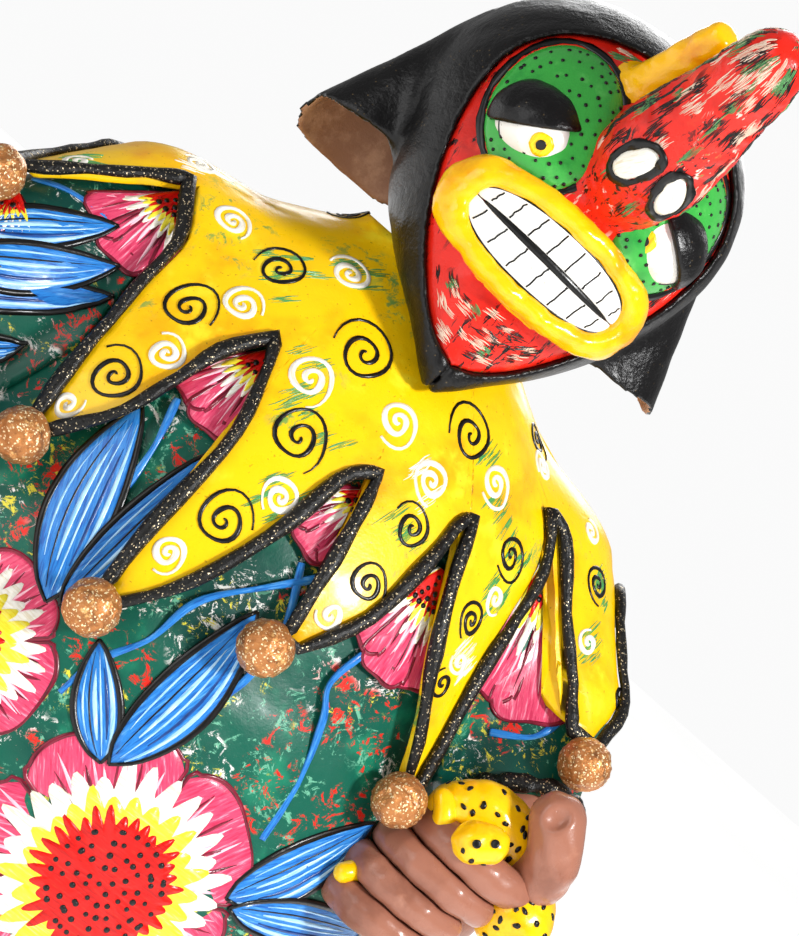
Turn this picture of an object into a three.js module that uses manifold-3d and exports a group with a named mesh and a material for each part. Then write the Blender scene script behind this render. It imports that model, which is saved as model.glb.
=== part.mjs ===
import * as THREE from 'three';
import { mergeVertices } from 'three/addons/utils/BufferGeometryUtils.js';
import Module from 'manifold-3d';

const wasm = await Module();
wasm.setup();

// Painted papier-mache carnival figure. Millimetres, +Z up, the front faces -Y,
// the origin is the centre of the underside of the base board.

// ---------------------------------------------------------------- driving dimensions

const GAP = 0.3;
const BOARD_THICKNESS = 12;
const BOARD_HALF_WIDTH = 160;
const BOARD_HALF_DEPTH = 136;

// Robe: height, half width, half depth.
const ROBE_PROFILE = [
  [12, 150, 126], [100, 152, 130], [190, 147, 127], [250, 138, 120],
  [300, 126, 108], [330, 114, 94], [352, 100, 80], [372, 82, 64],
  [388, 60, 48], [400, 40, 35], [412, 30, 29],
];
const ROBE_WALL = 6;
const ROBE_HEM = BOARD_THICKNESS + GAP;
const ROBE_COLLAR = 404;
const ROBE_COLUMNS = 36;
const ROBE_LEVELS = [
  ROBE_HEM, 100, 180, 230, 260, 276, 290, 304, 320, 336, 352, 368, 382, 394, ROBE_COLLAR,
];
// The robe is set in under the cape by this much, over this range of heights.
const ROBE_TUCK = 2.4;
const ROBE_TUCK_FROM = 244;
const ROBE_TUCK_TO = 268;

// Arm on the +X side, mirrored for the other one.
const SHOULDER = { at: new THREE.Vector3(94, -6, 338), radius: 38 };
const ELBOW = { at: new THREE.Vector3(128, -32, 312), radius: 29 };
const WRIST = { at: new THREE.Vector3(143, -61, 279), radius: 20 };
const ARM_BLEND = 22;
// The free hand hangs a little lower and further out than the one with the leopard.
const FREE_HAND_SHIFT = new THREE.Vector3(-6, 4, -13);

const CAPE_CLEARANCE = 1.6;
const CAPE_THICKNESS = 3;
const CAPE_COLLAR = 407;
const TOOTH_TIP_HALF_WIDTH = 3.6;
// Teeth from the figure's right side over the front to the back: angle and height of the tip,
// angle and height of the notch that follows it, angle of the ball. Angle 0 is the front,
// +90 is +X.
const CAPE_TEETH = [
  [-76, 337, -72, 373, -71], [-45, 278, -32, 353, -44], [-18, 253, 5, 342, -18.5],
  [9, 280, 32, 352, 5], [45, 266, 60, 370, 41], [64, 316, 82, 364, 61.5],
  [98, 296, 112, 356, 98], [128, 262, 143, 350, 128], [157, 272, 171, 352, 157],
  [186, 256, 200, 350, 186], [214, 270, 226, 354, 214], [240, 296, 256, 366, 240],
];
// Three places on each side of a tooth, as fractions of the way from the notch to the tip:
// around the body, and down it.
const TOOTH_SIDE = [[0.3, 0.16], [0.5, 0.4], [0.7, 0.7]];
// The hand-cut sides of the front teeth: tooth in the list above, side, its three places.
const HAND_CUT_SIDES = [
  [1, 'before', [[0.45, 0.19], [0.68, 0.45], [0.86, 0.74]]],
  [1, 'after', [[0.34, 0.2], [0.4, 0.46], [0.52, 0.72]]],
  [2, 'before', [[0.42, 0.12], [0.84, 0.36], [0.9, 0.74]]],
  [2, 'after', [[0.28, 0.1], [0.45, 0.4], [0.72, 0.77]]],
  [3, 'after', [[0.2, 0.1], [0.4, 0.36], [0.66, 0.7]]],
  [4, 'before', [[-0.04, 0.26], [0.24, 0.56], [0.7, 0.8]]],
  [4, 'after', [[0.13, 0.16], [0.58, 0.38], [0.96, 0.64]]],
  [5, 'before', [[1.35, 0.06], [1.15, 0.4], [1.25, 0.7]]],
];

const CORD_RADIUS = 2.3;
const CORD_CLEARANCE = 0.6;
const BALL_RADIUS = 10;
const BALL_CRUMPLE = 0.9;
const BALL_BEYOND = 6;
// Place in the list above of the tooth whose ball hangs beside the leopard hand.
const NEAR_HAND_TOOTH = 4;

const POST_RADIUS = 12;
const POST_TOP = 470;
const NECK_RADIUS = 25;
const BAR_LENGTH = 150;
const BAR_SIZE = 20;
const BAR_HEIGHT = 330;

// Head: height, half width, centre depth, half depth.
const HEAD_X = 5;
const HEAD_MIDDLE = 455;
const HEAD_PROFILE = [
  [374, 2, -74, 3], [381, 10, -70, 10], [390, 20, -60, 20], [402, 34, -43, 38],
  [418, 48, -27, 54], [440, 59, -19, 62], [462, 65, -15, 66], [482, 65, -13, 65],
  [500, 58, -12, 59], [514, 46, -11, 47], [525, 28, -10, 29], [531, 2, -10, 2],
];
const HOOD_WALL = 6;
const MASK_RECESS = 2.6;
const MASK_BACK = 9;
// Face opening in the hood: height and half width.
const WINDOW = [
  [386, 0], [390, 10], [400, 22], [418, 36], [440, 47], [462, 53], [482, 53], [498, 45],
  [509, 31], [515, 14], [516, 0],
];
const WINDOW_GAP = 0.4;

const EYE_SPREAD = 28;
const EYE = { depth: -62, height: 468, size: [18.5, 18, 15] };
const LID_THICKNESS = 2.6;
// The lids droop outward by this angle, in radians.
const LID_TILT = 0.6;
// How far the lid's lower edge is above the middle of the eye.
const LID_RISE = 3;
// Eye sockets are oval pads that follow the face.
const SOCKET = { spread: 29, height: 475, halfWidth: 21, halfHeight: 27.5, thickness: 4.5 };

// The nose sits a little to the figure's left and leans further that way.
const NOSE_ROOT = new THREE.Vector3(HEAD_X + 5, -70, 472);
const NOSE_END = new THREE.Vector3(HEAD_X + 3, -122, 534);
// Nose: distance along its length, radius.
const NOSE_PROFILE = [
  [-10, 0], [-10, 13], [4, 17.5], [20, 20.5], [34, 19.4], [50, 17], [64, 14.8], [75, 13.6],
  [84, 11.2], [90, 6.6], [92, 0],
];
const NOSTRIL = { along: 25, side: 8.6, size: [5.8, 4, 10.5] };

const HORN_ROOT = new THREE.Vector3(-6, -56, 500);
const HORN_END = new THREE.Vector3(-3, -88, 534);
const HORN_PROFILE = [[-6, 0], [-6, 9.5], [8, 8.6], [24, 7.4], [44, 6.4], [48, 4.4], [49, 0]];

const MOUTH = { height: 435.5, depth: -82, halfLength: 39, halfHeight: 16.5, lip: 5, square: 0.84 };
const TEETH = { halfLength: 35, halfHeight: 11.5, slit: 1.1, thickness: 9 };

// Ear: fraction of the way from its top to its mouth, radius; down the outside, up the inside.
const EAR_OUTSIDE = [[0, 0], [0.05, 8], [0.22, 15], [0.48, 20.5], [0.76, 25], [1, 29]];
const EAR_INSIDE = [[1, 26.5], [0.76, 22.5], [0.48, 18], [0.25, 12.5], [0.11, 6], [0.09, 0]];
const EAR_TOP = new THREE.Vector3(-46, -2, 498);
const EAR_MOUTH = new THREE.Vector3(-61, 0, 423);
const EAR_FLATNESS = 0.72;
// How far each ear's mouth turns towards the front, in radians: figure's left, right.
const EAR_MOUTH_TILT = { left: -0.1, right: 0.5 };

const FINGER_RADIUS = 6.8;
const FINGER_PITCH = 12.4;
const FINGER_TOP = 259;
const FINGER_PATH = [[111, -76], [103, -88], [109, -102], [125, -108], [139, -104]];
const FINGER_RISE = 4;
const FINGER_NAMES = ['index', 'middle', 'ring', 'little'];
// How far each finger is set along X, index first.
const FINGER_SET = [6, 1, -2, -1];
// How far the tip of each finger falls short, index first.
const FINGER_SHORT = [0, 1, 3, 7];
const PALM = { at: [131, -84, 241], size: [20, 16, 28] };
const WRIST_PATH = [[143, -62, 284], [141, -68, 270], [136, -76, 256], [131, -82, 242]];
const WRIST_RADII = [15, 16, 17, 17];
const THUMB_PATH = [[148, -85, 261], [150, -99, 268], [147, -106, 279], [139, -105, 290]];
const THUMB_RADII = [10.5, 10.5, 9.6, 10];

const LEOPARD_PATH = [
  [110, -92, 268], [121, -92, 275], [136, -90, 273], [150, -89, 264], [155, -100, 252],
];
const LEOPARD_RADII = [8.5, 11.5, 12.5, 13, 13];
const LEOPARD_HEAD = { at: [121, -112, 268], size: [10, 8.5, 8.5] };
// Ends of the leopard that show between the fingers: name, path, radii.
const LEOPARD_LIMBS = [
  ['leopard_foreleg', [[104, -98, 270], [107, -100, 267], [110, -101, 262]], [3.6, 3.9, 4.2]],
  ['leopard_tail', [[103, -92, 234], [98, -98, 230], [94, -101, 227]], [3.6, 4, 3.5]],
];

// ---------------------------------------------------------------- mesh helpers

// Position-only welded copy of a geometry, without zero-area triangles, facing outward.
function weld(geometry) {
  const bare = new THREE.BufferGeometry();
  bare.setAttribute('position', geometry.getAttribute('position').clone());
  if (geometry.index) {
    bare.setIndex(geometry.index.clone());
  }
  const merged = mergeVertices(bare, 1e-3);
  const index = merged.index.array;
  const at = merged.getAttribute('position');
  const kept = [];
  let volume = 0;
  const a = new THREE.Vector3();
  const b = new THREE.Vector3();
  const c = new THREE.Vector3();
  for (let i = 0; i < index.length; i += 3) {
    const [p, q, r] = [index[i], index[i + 1], index[i + 2]];
    if (p === q || q === r || r === p) {
      continue;
    }
    kept.push(p, q, r);
    a.fromBufferAttribute(at, p);
    b.fromBufferAttribute(at, q);
    c.fromBufferAttribute(at, r);
    volume += a.dot(b.cross(c));
  }
  if (volume < 0) {
    kept.reverse();
  }
  merged.setIndex(kept);
  return merged;
}

function toSolid(geometry) {
  const welded = weld(geometry);
  const mesh = new wasm.Mesh({
    numProp: 3,
    vertProperties: new Float32Array(welded.getAttribute('position').array),
    triVerts: new Uint32Array(welded.index.array),
  });
  return new wasm.Manifold(mesh);
}

function toGeometry(solid) {
  const mesh = solid.getMesh();
  const geometry = new THREE.BufferGeometry();
  geometry.setAttribute('position', new THREE.BufferAttribute(mesh.vertProperties, 3));
  geometry.setIndex(new THREE.BufferAttribute(mesh.triVerts, 1));
  return weld(geometry);
}

// What is left of a solid after cutting, keeping only its largest body.
function cut(solid, ...cutters) {
  const rest = cutters.reduce((left, cutter) => left.subtract(cutter), solid);
  const bodies = rest.decompose();
  return bodies.reduce((best, body) => (body.volume() > best.volume() ? body : best));
}

// Move every vertex of a geometry through a function.
function warp(geometry, place) {
  const at = geometry.getAttribute('position');
  const point = new THREE.Vector3();
  for (let i = 0; i < at.count; i += 1) {
    point.fromBufferAttribute(at, i);
    place(point);
    at.setXYZ(i, point.x, point.y, point.z);
  }
  return geometry;
}

function mirrorX(geometry) {
  return warp(geometry, (p) => p.setX(-p.x));
}

// Smooth value of one column of a table whose first column is the position.
function tableAt(table, position, column) {
  const last = table.length - 1;
  if (position <= table[0][0]) {
    return table[0][column];
  }
  if (position >= table[last][0]) {
    return table[last][column];
  }
  let k = 0;
  while (table[k + 1][0] < position) {
    k += 1;
  }
  const slope = (i) => {
    const low = Math.max(0, i - 1);
    const high = Math.min(last, i + 1);
    return (table[high][column] - table[low][column]) / (table[high][0] - table[low][0]);
  };
  const span = table[k + 1][0] - table[k][0];
  const t = (position - table[k][0]) / span;
  const h1 = (1 + 2 * t) * (1 - t) ** 2;
  const h2 = t * (1 - t) ** 2;
  const h3 = t * t * (3 - 2 * t);
  const h4 = t * t * (t - 1);
  return h1 * table[k][column] + h2 * span * slope(k)
    + h3 * table[k + 1][column] + h4 * span * slope(k + 1);
}

// Turned shape whose axis runs from one point towards another. Profile: [along, radius].
function turned(profile, from, towards, segments, grow = 0) {
  const points = profile.map(([along, radius]) => (
    new THREE.Vector2(radius > 0 ? radius + grow : 0, along)));
  const geometry = new THREE.LatheGeometry(points, segments);
  const direction = towards.clone().sub(from).normalize();
  const turn = new THREE.Quaternion().setFromUnitVectors(new THREE.Vector3(0, 1, 0), direction);
  geometry.applyQuaternion(turn);
  geometry.translate(from.x, from.y, from.z);
  return geometry;
}

function ellipsoid(at, size, grow = 0, across = 14, up = 9) {
  const geometry = new THREE.SphereGeometry(1, across, up);
  geometry.rotateX(Math.PI / 2);
  geometry.scale(size[0] + grow, size[1] + grow, size[2] + grow);
  geometry.translate(at[0], at[1], at[2]);
  return geometry;
}

// Round sausage along a list of points, with domed ends.
function sausage(points, radii, sides, grow = 0, rings = 10) {
  const curve = new THREE.CatmullRomCurve3(points.map((p) => new THREE.Vector3(...p)));
  const ends = 3;
  const profile = [];
  for (let i = 0; i <= ends; i += 1) {
    const angle = (i / ends) * (Math.PI / 2);
    profile.push({ t: 0, back: Math.cos(angle), scale: Math.sin(angle) });
  }
  for (let i = 1; i < rings; i += 1) {
    profile.push({ t: i / rings, back: 0, scale: 1 });
  }
  for (let i = 0; i <= ends; i += 1) {
    const angle = (i / ends) * (Math.PI / 2);
    profile.push({ t: 1, back: -Math.sin(angle), scale: Math.cos(angle) });
  }
  const flat = profile.map((ring, i) => new THREE.Vector2(ring.scale < 0.01 ? 0 : 1, i));
  const geometry = new THREE.LatheGeometry(flat, sides);
  const side = new THREE.Vector3();
  const up = new THREE.Vector3();
  return warp(geometry, (p) => {
    const ring = profile[Math.round(p.y)];
    const tangent = curve.getTangent(ring.t);
    const centre = curve.getPoint(ring.t);
    const radius = tableAt(radii.map((r, i) => [i / (radii.length - 1), r]), ring.t, 1) + grow;
    const reference = Math.abs(tangent.z) > 0.8
      ? new THREE.Vector3(0, 1, 0) : new THREE.Vector3(0, 0, 1);
    side.crossVectors(tangent, reference).normalize();
    up.crossVectors(side, tangent);
    const wide = p.x * ring.scale * radius;
    const high = p.z * ring.scale * radius;
    p.copy(centre).addScaledVector(side, wide).addScaledVector(up, high);
    p.addScaledVector(tangent, -ring.back * radius);
  });
}

// ---------------------------------------------------------------- body surface

function torsoDistance(p) {
  const width = tableAt(ROBE_PROFILE, p.z, 1);
  const depth = tableAt(ROBE_PROFILE, p.z, 2);
  const reach = Math.hypot(p.x / width, p.y / depth);
  return (reach - 1) * Math.min(width, depth) * 0.9;
}

function taperDistance(p, start, end) {
  const axis = end.at.clone().sub(start.at);
  const t = THREE.MathUtils.clamp(p.clone().sub(start.at).dot(axis) / axis.lengthSq(), 0, 1);
  const nearest = start.at.clone().addScaledVector(axis, t);
  return p.distanceTo(nearest) - THREE.MathUtils.lerp(start.radius, end.radius, t);
}

function blendMin(a, b, reach) {
  const h = THREE.MathUtils.clamp(0.5 + (0.5 * (b - a)) / reach, 0, 1);
  return THREE.MathUtils.lerp(b, a, h) - reach * h * (1 - h);
}

function upperBodyDistance(p) {
  const side = new THREE.Vector3(Math.abs(p.x), p.y, p.z);
  return blendMin(torsoDistance(p), taperDistance(side, SHOULDER, ELBOW), ARM_BLEND);
}

function wholeBodyDistance(p) {
  const side = new THREE.Vector3(Math.abs(p.x), p.y, p.z);
  const arm = Math.min(taperDistance(side, SHOULDER, ELBOW), taperDistance(side, ELBOW, WRIST));
  return blendMin(torsoDistance(p), arm, ARM_BLEND);
}

// Outermost point of a body surface at an angle (0 front, +90 is +X) and a height.
function surfacePoint(distance, degrees, height, offset) {
  const angle = THREE.MathUtils.degToRad(degrees);
  const at = (radius) => (
    new THREE.Vector3(radius * Math.sin(angle), -radius * Math.cos(angle), height));
  let far = 230;
  while (far > 4 && distance(at(far)) > offset) {
    far -= 3;
  }
  let near = far;
  far += 3;
  for (let i = 0; i < 14; i += 1) {
    const middle = (near + far) / 2;
    if (distance(at(middle)) > offset) {
      far = middle;
    } else {
      near = middle;
    }
  }
  return at(near);
}

// Closed skin: a ring of columns, each walking down outside and back up inside.
// place(columnFraction, row) gives a vertex.
function ringSkin(columns, rows, place) {
  const loop = [];
  for (let row = 0; row <= rows; row += 1) {
    loop.push(new THREE.Vector2(1, row));
  }
  const geometry = new THREE.LatheGeometry(loop, columns);
  return warp(geometry, (p) => {
    const angle = Math.atan2(p.x, p.z);
    const turn = (angle / (2 * Math.PI) + 1) % 1;
    const column = Math.round(turn * columns) % columns;
    p.copy(place(column, Math.round(p.y) % rows));
  });
}

function robeSkinPoint(degrees, level, grow) {
  const tuck = ROBE_TUCK * THREE.MathUtils.smoothstep(level, ROBE_TUCK_FROM, ROBE_TUCK_TO);
  return surfacePoint(upperBodyDistance, degrees, level, grow - tuck);
}

function makeRobe() {
  const inside = [ROBE_COLLAR, 380, 340, 240, 120, ROBE_HEM];
  const rows = ROBE_LEVELS.length + inside.length;
  return ringSkin(ROBE_COLUMNS, rows, (column, row) => {
    const degrees = (column * 360) / ROBE_COLUMNS;
    if (row < ROBE_LEVELS.length) {
      return robeSkinPoint(degrees, ROBE_LEVELS[row], 0);
    }
    return surfacePoint(torsoDistance, degrees, inside[row - ROBE_LEVELS.length], -ROBE_WALL);
  });
}

// Solid stack of rings, used only for cutting neighbours. ring(degrees, level) gives a vertex.
function filledStack(levels, columns, ring) {
  const profile = [new THREE.Vector2(0, levels[0])];
  levels.forEach((level) => profile.push(new THREE.Vector2(1, level)));
  profile.push(new THREE.Vector2(0, levels[levels.length - 1]));
  const geometry = new THREE.LatheGeometry(profile, columns);
  return warp(geometry, (p) => {
    if (Math.hypot(p.x, p.z) < 0.5) {
      p.set(0, 0, p.y);
      return;
    }
    const turn = Math.atan2(p.x, p.z) / (2 * Math.PI);
    p.copy(ring((Math.round(turn * columns) * 360) / columns, p.y));
  });
}

// Filled robe with its upper arms, grown by the gap, for trimming the sleeves.
function robeBlock() {
  return filledStack(ROBE_LEVELS, ROBE_COLUMNS, (degrees, level) => (
    robeSkinPoint(degrees, level, GAP * 1.5)));
}

// Filled body with both arms, up to a given height.
function bodyBlock(offset, top) {
  const levels = [200, 230, 252, 268, 282, 296, 310, 324, 338, 352, 366, 378, 388, 396, top];
  return filledStack(levels, ROBE_COLUMNS, (degrees, level) => (
    surfacePoint(wholeBodyDistance, degrees, level, offset)));
}

// ---------------------------------------------------------------- cape

function toothSide(k, side) {
  const cutByHand = HAND_CUT_SIDES.find(([tooth, where]) => tooth === k && where === side);
  return cutByHand ? cutByHand[2] : TOOTH_SIDE;
}

// Edge of the cape as [angle, height] points: notch, side, blunt tip, side.
function capeEdge() {
  const edge = [];
  CAPE_TEETH.forEach(([tipAngle, tipHeight, notchAngle, notchHeight], k) => {
    const before = CAPE_TEETH[(k + CAPE_TEETH.length - 1) % CAPE_TEETH.length];
    const startAngle = k === 0 ? before[2] - 360 : before[2];
    const blunt = THREE.MathUtils.radToDeg(TOOTH_TIP_HALF_WIDTH / 130);
    edge.push([startAngle, before[3]]);
    toothSide(k, 'before').forEach(([around, down]) => edge.push([
      THREE.MathUtils.lerp(startAngle, tipAngle - blunt, around),
      THREE.MathUtils.lerp(before[3], tipHeight, down),
    ]));
    edge.push([tipAngle - blunt, tipHeight]);
    edge.push([tipAngle + blunt, tipHeight]);
    [...toothSide(k, 'after')].reverse().forEach(([around, down]) => edge.push([
      THREE.MathUtils.lerp(notchAngle, tipAngle + blunt, around),
      THREE.MathUtils.lerp(notchHeight, tipHeight, down),
    ]));
  });
  return edge;
}

function makeCape(grow = 0) {
  const edge = capeEdge();
  const outside = [0, 0.16, 0.33, 0.5, 0.68, 0.84, 1];
  const inside = [1, 0.66, 0.33, 0];
  const rows = outside.length + inside.length;
  const start = edge[0][0];
  return ringSkin(edge.length, rows, (column, row) => {
    const [angle, height] = edge[column];
    const outer = row < outside.length;
    const t = outer ? outside[row] : inside[row - outside.length];
    const evenAngle = start + (column * 360) / edge.length;
    const degrees = THREE.MathUtils.lerp(evenAngle, angle, t ** 0.8);
    const level = THREE.MathUtils.lerp(CAPE_COLLAR, height, t);
    const offset = outer ? CAPE_CLEARANCE + CAPE_THICKNESS + grow : CAPE_CLEARANCE - grow;
    return surfacePoint(wholeBodyDistance, degrees, level, offset);
  });
}

function makeEdgeCord() {
  const edge = capeEdge();
  const offset = CAPE_CLEARANCE + CAPE_THICKNESS + CORD_CLEARANCE + CORD_RADIUS;
  const path = edge.map(([angle, height]) => (
    surfacePoint(wholeBodyDistance, angle, height, offset)));
  const sides = 5;
  const geometry = new THREE.TorusGeometry(10, 1, sides, path.length);
  const count = path.length;
  return warp(geometry, (p) => {
    const turn = (Math.atan2(p.y, p.x) / (2 * Math.PI) + 1) % 1;
    const i = Math.round(turn * count) % count;
    const outward = Math.hypot(p.x, p.y) - 10;
    const across = p.z;
    const here = path[i];
    const tangent = path[(i + 1) % count].clone().sub(path[(i + count - 1) % count]).normalize();
    const away = new THREE.Vector3(here.x, here.y, 0).normalize();
    away.addScaledVector(tangent, -away.dot(tangent)).normalize();
    const beside = new THREE.Vector3().crossVectors(tangent, away);
    p.copy(here);
    p.addScaledVector(away, outward * CORD_RADIUS);
    p.addScaledVector(beside, across * CORD_RADIUS);
  });
}

function makeBall(k, grow = 0) {
  const [, tipHeight, , , angle] = CAPE_TEETH[k];
  const height = tipHeight - BALL_BEYOND;
  const at = surfacePoint(wholeBodyDistance, angle, height, BALL_RADIUS + 0.8);
  const geometry = new THREE.IcosahedronGeometry(BALL_RADIUS, 1);
  const turn = k * 1.7;
  return warp(geometry, (p) => {
    const wave = Math.sin(p.x * 0.7 + turn) + Math.cos(p.y * 0.8 - turn) + Math.sin(p.z * 0.75);
    p.setLength(BALL_RADIUS - BALL_CRUMPLE * 0.5 + (wave / 3) * BALL_CRUMPLE * 0.5 + grow);
    p.add(at);
  });
}

// ---------------------------------------------------------------- head

function headBlock(offset) {
  const levels = HEAD_PROFILE.map(([level]) => level);
  const columns = 22;
  const profile = [new THREE.Vector2(0, levels[0])];
  levels.forEach((level) => profile.push(new THREE.Vector2(1, level)));
  profile.push(new THREE.Vector2(0, levels[levels.length - 1]));
  const top = levels[levels.length - 1] - HEAD_MIDDLE;
  const geometry = new THREE.LatheGeometry(profile, columns);
  return warp(geometry, (p) => {
    const level = p.y;
    const width = Math.max(0.4, tableAt(HEAD_PROFILE, level, 1) + offset);
    const middle = tableAt(HEAD_PROFILE, level, 2);
    const depth = Math.max(0.4, tableAt(HEAD_PROFILE, level, 3) + offset);
    const high = HEAD_MIDDLE + (level - HEAD_MIDDLE) * (1 + offset / top);
    p.set(HEAD_X + p.x * width, middle - p.z * depth, high);
  });
}

function windowBlock(inset) {
  const shape = new THREE.Shape();
  const half = WINDOW.map(([level, width]) => [level, Math.max(0, width - inset)]);
  shape.moveTo(HEAD_X, half[0][0] + inset);
  half.slice(1, -1).forEach(([level, width]) => shape.lineTo(HEAD_X + width, level));
  shape.lineTo(HEAD_X, half[half.length - 1][0] - inset);
  half.slice(1, -1).reverse().forEach(([level, width]) => shape.lineTo(HEAD_X - width, level));
  const geometry = new THREE.ExtrudeGeometry(shape, { depth: 80, bevelEnabled: false });
  // Shape plane XY becomes XZ, the extrusion runs back from y = -110.
  return warp(geometry, (p) => p.set(p.x, p.z - 110, p.y));
}

function eyeCentre(side) {
  return [HEAD_X + side * EYE_SPREAD, EYE.depth, EYE.height];
}

function makeEye(side, grow = 0) {
  return ellipsoid(eyeCentre(side), EYE.size, grow);
}

// Upper part of an egg a little bigger than the eye, tilted outward.
function makeLid(side, grow = 0) {
  const ball = ellipsoid(eyeCentre(side), EYE.size, LID_THICKNESS + grow);
  const half = new THREE.BoxGeometry(60, 60, 30);
  half.translate(0, 0, 15 - grow);
  half.translate(0, 0, LID_RISE);
  half.rotateY(side * LID_TILT);
  half.translate(...eyeCentre(side));
  return toSolid(ball).intersect(toSolid(half));
}

function makeSocket(side) {
  const oval = new THREE.CylinderGeometry(1, 1, 80, 24);
  oval.scale(SOCKET.halfWidth, 1, SOCKET.halfHeight);
  oval.translate(HEAD_X + side * SOCKET.spread, -70, SOCKET.height);
  return toSolid(oval).intersect(toSolid(headBlock(SOCKET.thickness - MASK_RECESS)));
}

function makeNose(grow = 0) {
  return turned(NOSE_PROFILE, NOSE_ROOT, NOSE_END, 16, grow);
}

function makeNostril(side) {
  const direction = NOSE_END.clone().sub(NOSE_ROOT).normalize();
  const below = new THREE.Vector3(0, -direction.z, direction.y);
  const radius = tableAt(NOSE_PROFILE.slice(1), NOSTRIL.along, 1);
  const at = NOSE_ROOT.clone().addScaledVector(direction, NOSTRIL.along);
  at.addScaledVector(below, radius * 0.9);
  at.x += side * NOSTRIL.side;
  const geometry = ellipsoid([0, 0, 0], NOSTRIL.size, 0, 12, 8);
  geometry.rotateZ(side * 0.42);
  geometry.rotateX(Math.atan2(-direction.y, direction.z));
  geometry.translate(at.x, at.y, at.z);
  return geometry;
}

function makeLips(grow = 0) {
  const geometry = new THREE.TorusGeometry(10, 1, 7, 24);
  return warp(geometry, (p) => {
    const angle = Math.atan2(p.y, p.x);
    const outward = (Math.hypot(p.x, p.y) - 10) * (MOUTH.lip + grow);
    const forward = p.z * (MOUTH.lip + 1.5 + grow);
    const run = Math.sign(Math.cos(angle)) * Math.abs(Math.cos(angle)) ** MOUTH.square;
    const rise = Math.sign(Math.sin(angle)) * Math.abs(Math.sin(angle)) ** MOUTH.square;
    const x = run * (MOUTH.halfLength + outward);
    const z = rise * (MOUTH.halfHeight + outward);
    const bend = (x * x) / 150;
    p.set(HEAD_X + x, MOUTH.depth + bend - forward, MOUTH.height + z);
  });
}

function makeTeeth(side) {
  const shape = new THREE.Shape();
  const steps = 10;
  shape.moveTo(-TEETH.halfLength, side * TEETH.slit);
  for (let i = 0; i <= steps; i += 1) {
    const angle = Math.PI * (1 - i / steps);
    const high = TEETH.slit + Math.sin(angle) ** 0.5 * (TEETH.halfHeight - TEETH.slit);
    shape.lineTo(Math.cos(angle) * TEETH.halfLength, side * (i % steps ? high : TEETH.slit));
  }
  for (let i = steps - 2; i > 0; i -= 2) {
    shape.lineTo(Math.cos(Math.PI * (1 - i / steps)) * TEETH.halfLength, side * TEETH.slit);
  }
  const geometry = new THREE.ExtrudeGeometry(shape, {
    depth: TEETH.thickness, bevelEnabled: false,
  });
  return warp(geometry, (p) => {
    const bend = (p.x * p.x) / 150;
    p.set(HEAD_X + p.x, MOUTH.depth - 3 + bend + p.z, MOUTH.height + p.y);
  });
}

// Ear cup on the -X side of the head, its mouth facing down.
function makeEar(tilt) {
  const rings = [...EAR_OUTSIDE, ...EAR_INSIDE];
  const profile = rings.map(([, radius], i) => new THREE.Vector2(radius > 0 ? 1 : 0, i));
  const geometry = new THREE.LatheGeometry(profile, 18);
  return warp(geometry, (p) => {
    const [way, radius] = rings[Math.round(p.y)];
    const wide = p.x * radius;
    const deep = p.z * radius * EAR_FLATNESS;
    p.copy(EAR_TOP).lerp(EAR_MOUTH, way);
    p.x += wide;
    p.y -= deep * Math.cos(tilt * way);
    p.z += deep * Math.sin(tilt * way);
  });
}

// ---------------------------------------------------------------- arms and hands

// Sleeve, cuff and hand are made on the +X side; shift moves the wrist end.
function makeSleeve(shift, grow = 0) {
  const from = ELBOW.at;
  const to = WRIST.at.clone().add(shift);
  const length = from.distanceTo(to);
  const profile = [
    [-12, 0], [-12, 22], [0, ELBOW.radius - 1], [length * 0.5, 25.5], [length, WRIST.radius],
    [length, 0],
  ];
  return turned(profile, from, to, 20, grow);
}

function makeCuff(shift) {
  const wrist = WRIST.at.clone().add(shift);
  const direction = wrist.clone().sub(ELBOW.at).normalize();
  const at = wrist.addScaledVector(direction, -4);
  const geometry = new THREE.TorusGeometry(WRIST.radius + 4.6, 2.6, 5, 18);
  const turn = new THREE.Quaternion().setFromUnitVectors(new THREE.Vector3(0, 0, 1), direction);
  geometry.applyQuaternion(turn);
  geometry.translate(at.x, at.y, at.z);
  return geometry;
}

function makeFinger(k, grow = 0) {
  const drop = k * FINGER_PITCH;
  const points = FINGER_PATH.map(([x, y], i) => {
    const reach = i / (FINGER_PATH.length - 1);
    return [x + FINGER_SET[k] - reach * FINGER_SHORT[k], y, FINGER_TOP - drop + (reach - 0.5) * FINGER_RISE];
  });
  const radius = FINGER_RADIUS - 0.25 * k;
  return sausage(points, [radius * 0.95, radius, radius, radius * 0.95], 7, grow, 6);
}

function makeThumb(grow = 0) {
  return sausage(THUMB_PATH, THUMB_RADII, 8, grow, 5);
}

function makePalm() {
  const body = toSolid(ellipsoid(PALM.at, PALM.size, 0, 10, 7));
  return body.add(toSolid(sausage(WRIST_PATH, WRIST_RADII, 9, 0, 3)));
}

// ---------------------------------------------------------------- leopard

function leopardBody(grow = 0) {
  return sausage(LEOPARD_PATH, LEOPARD_RADII, 9, grow, 7);
}

function leopardHead(grow = 0) {
  return ellipsoid(LEOPARD_HEAD.at, LEOPARD_HEAD.size, grow, 12, 8);
}

// ---------------------------------------------------------------- frame inside

function makeBoard() {
  const geometry = new THREE.CylinderGeometry(1, 1, BOARD_THICKNESS, 40);
  geometry.rotateX(Math.PI / 2);
  geometry.scale(BOARD_HALF_WIDTH, BOARD_HALF_DEPTH, 1);
  geometry.translate(0, 0, BOARD_THICKNESS / 2);
  return geometry;
}

function upright(radius, bottom, top, segments) {
  const geometry = new THREE.CylinderGeometry(radius, radius, top - bottom, segments);
  geometry.rotateX(Math.PI / 2);
  geometry.translate(0, 0, (top + bottom) / 2);
  return geometry;
}

// ---------------------------------------------------------------- assembly

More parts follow.
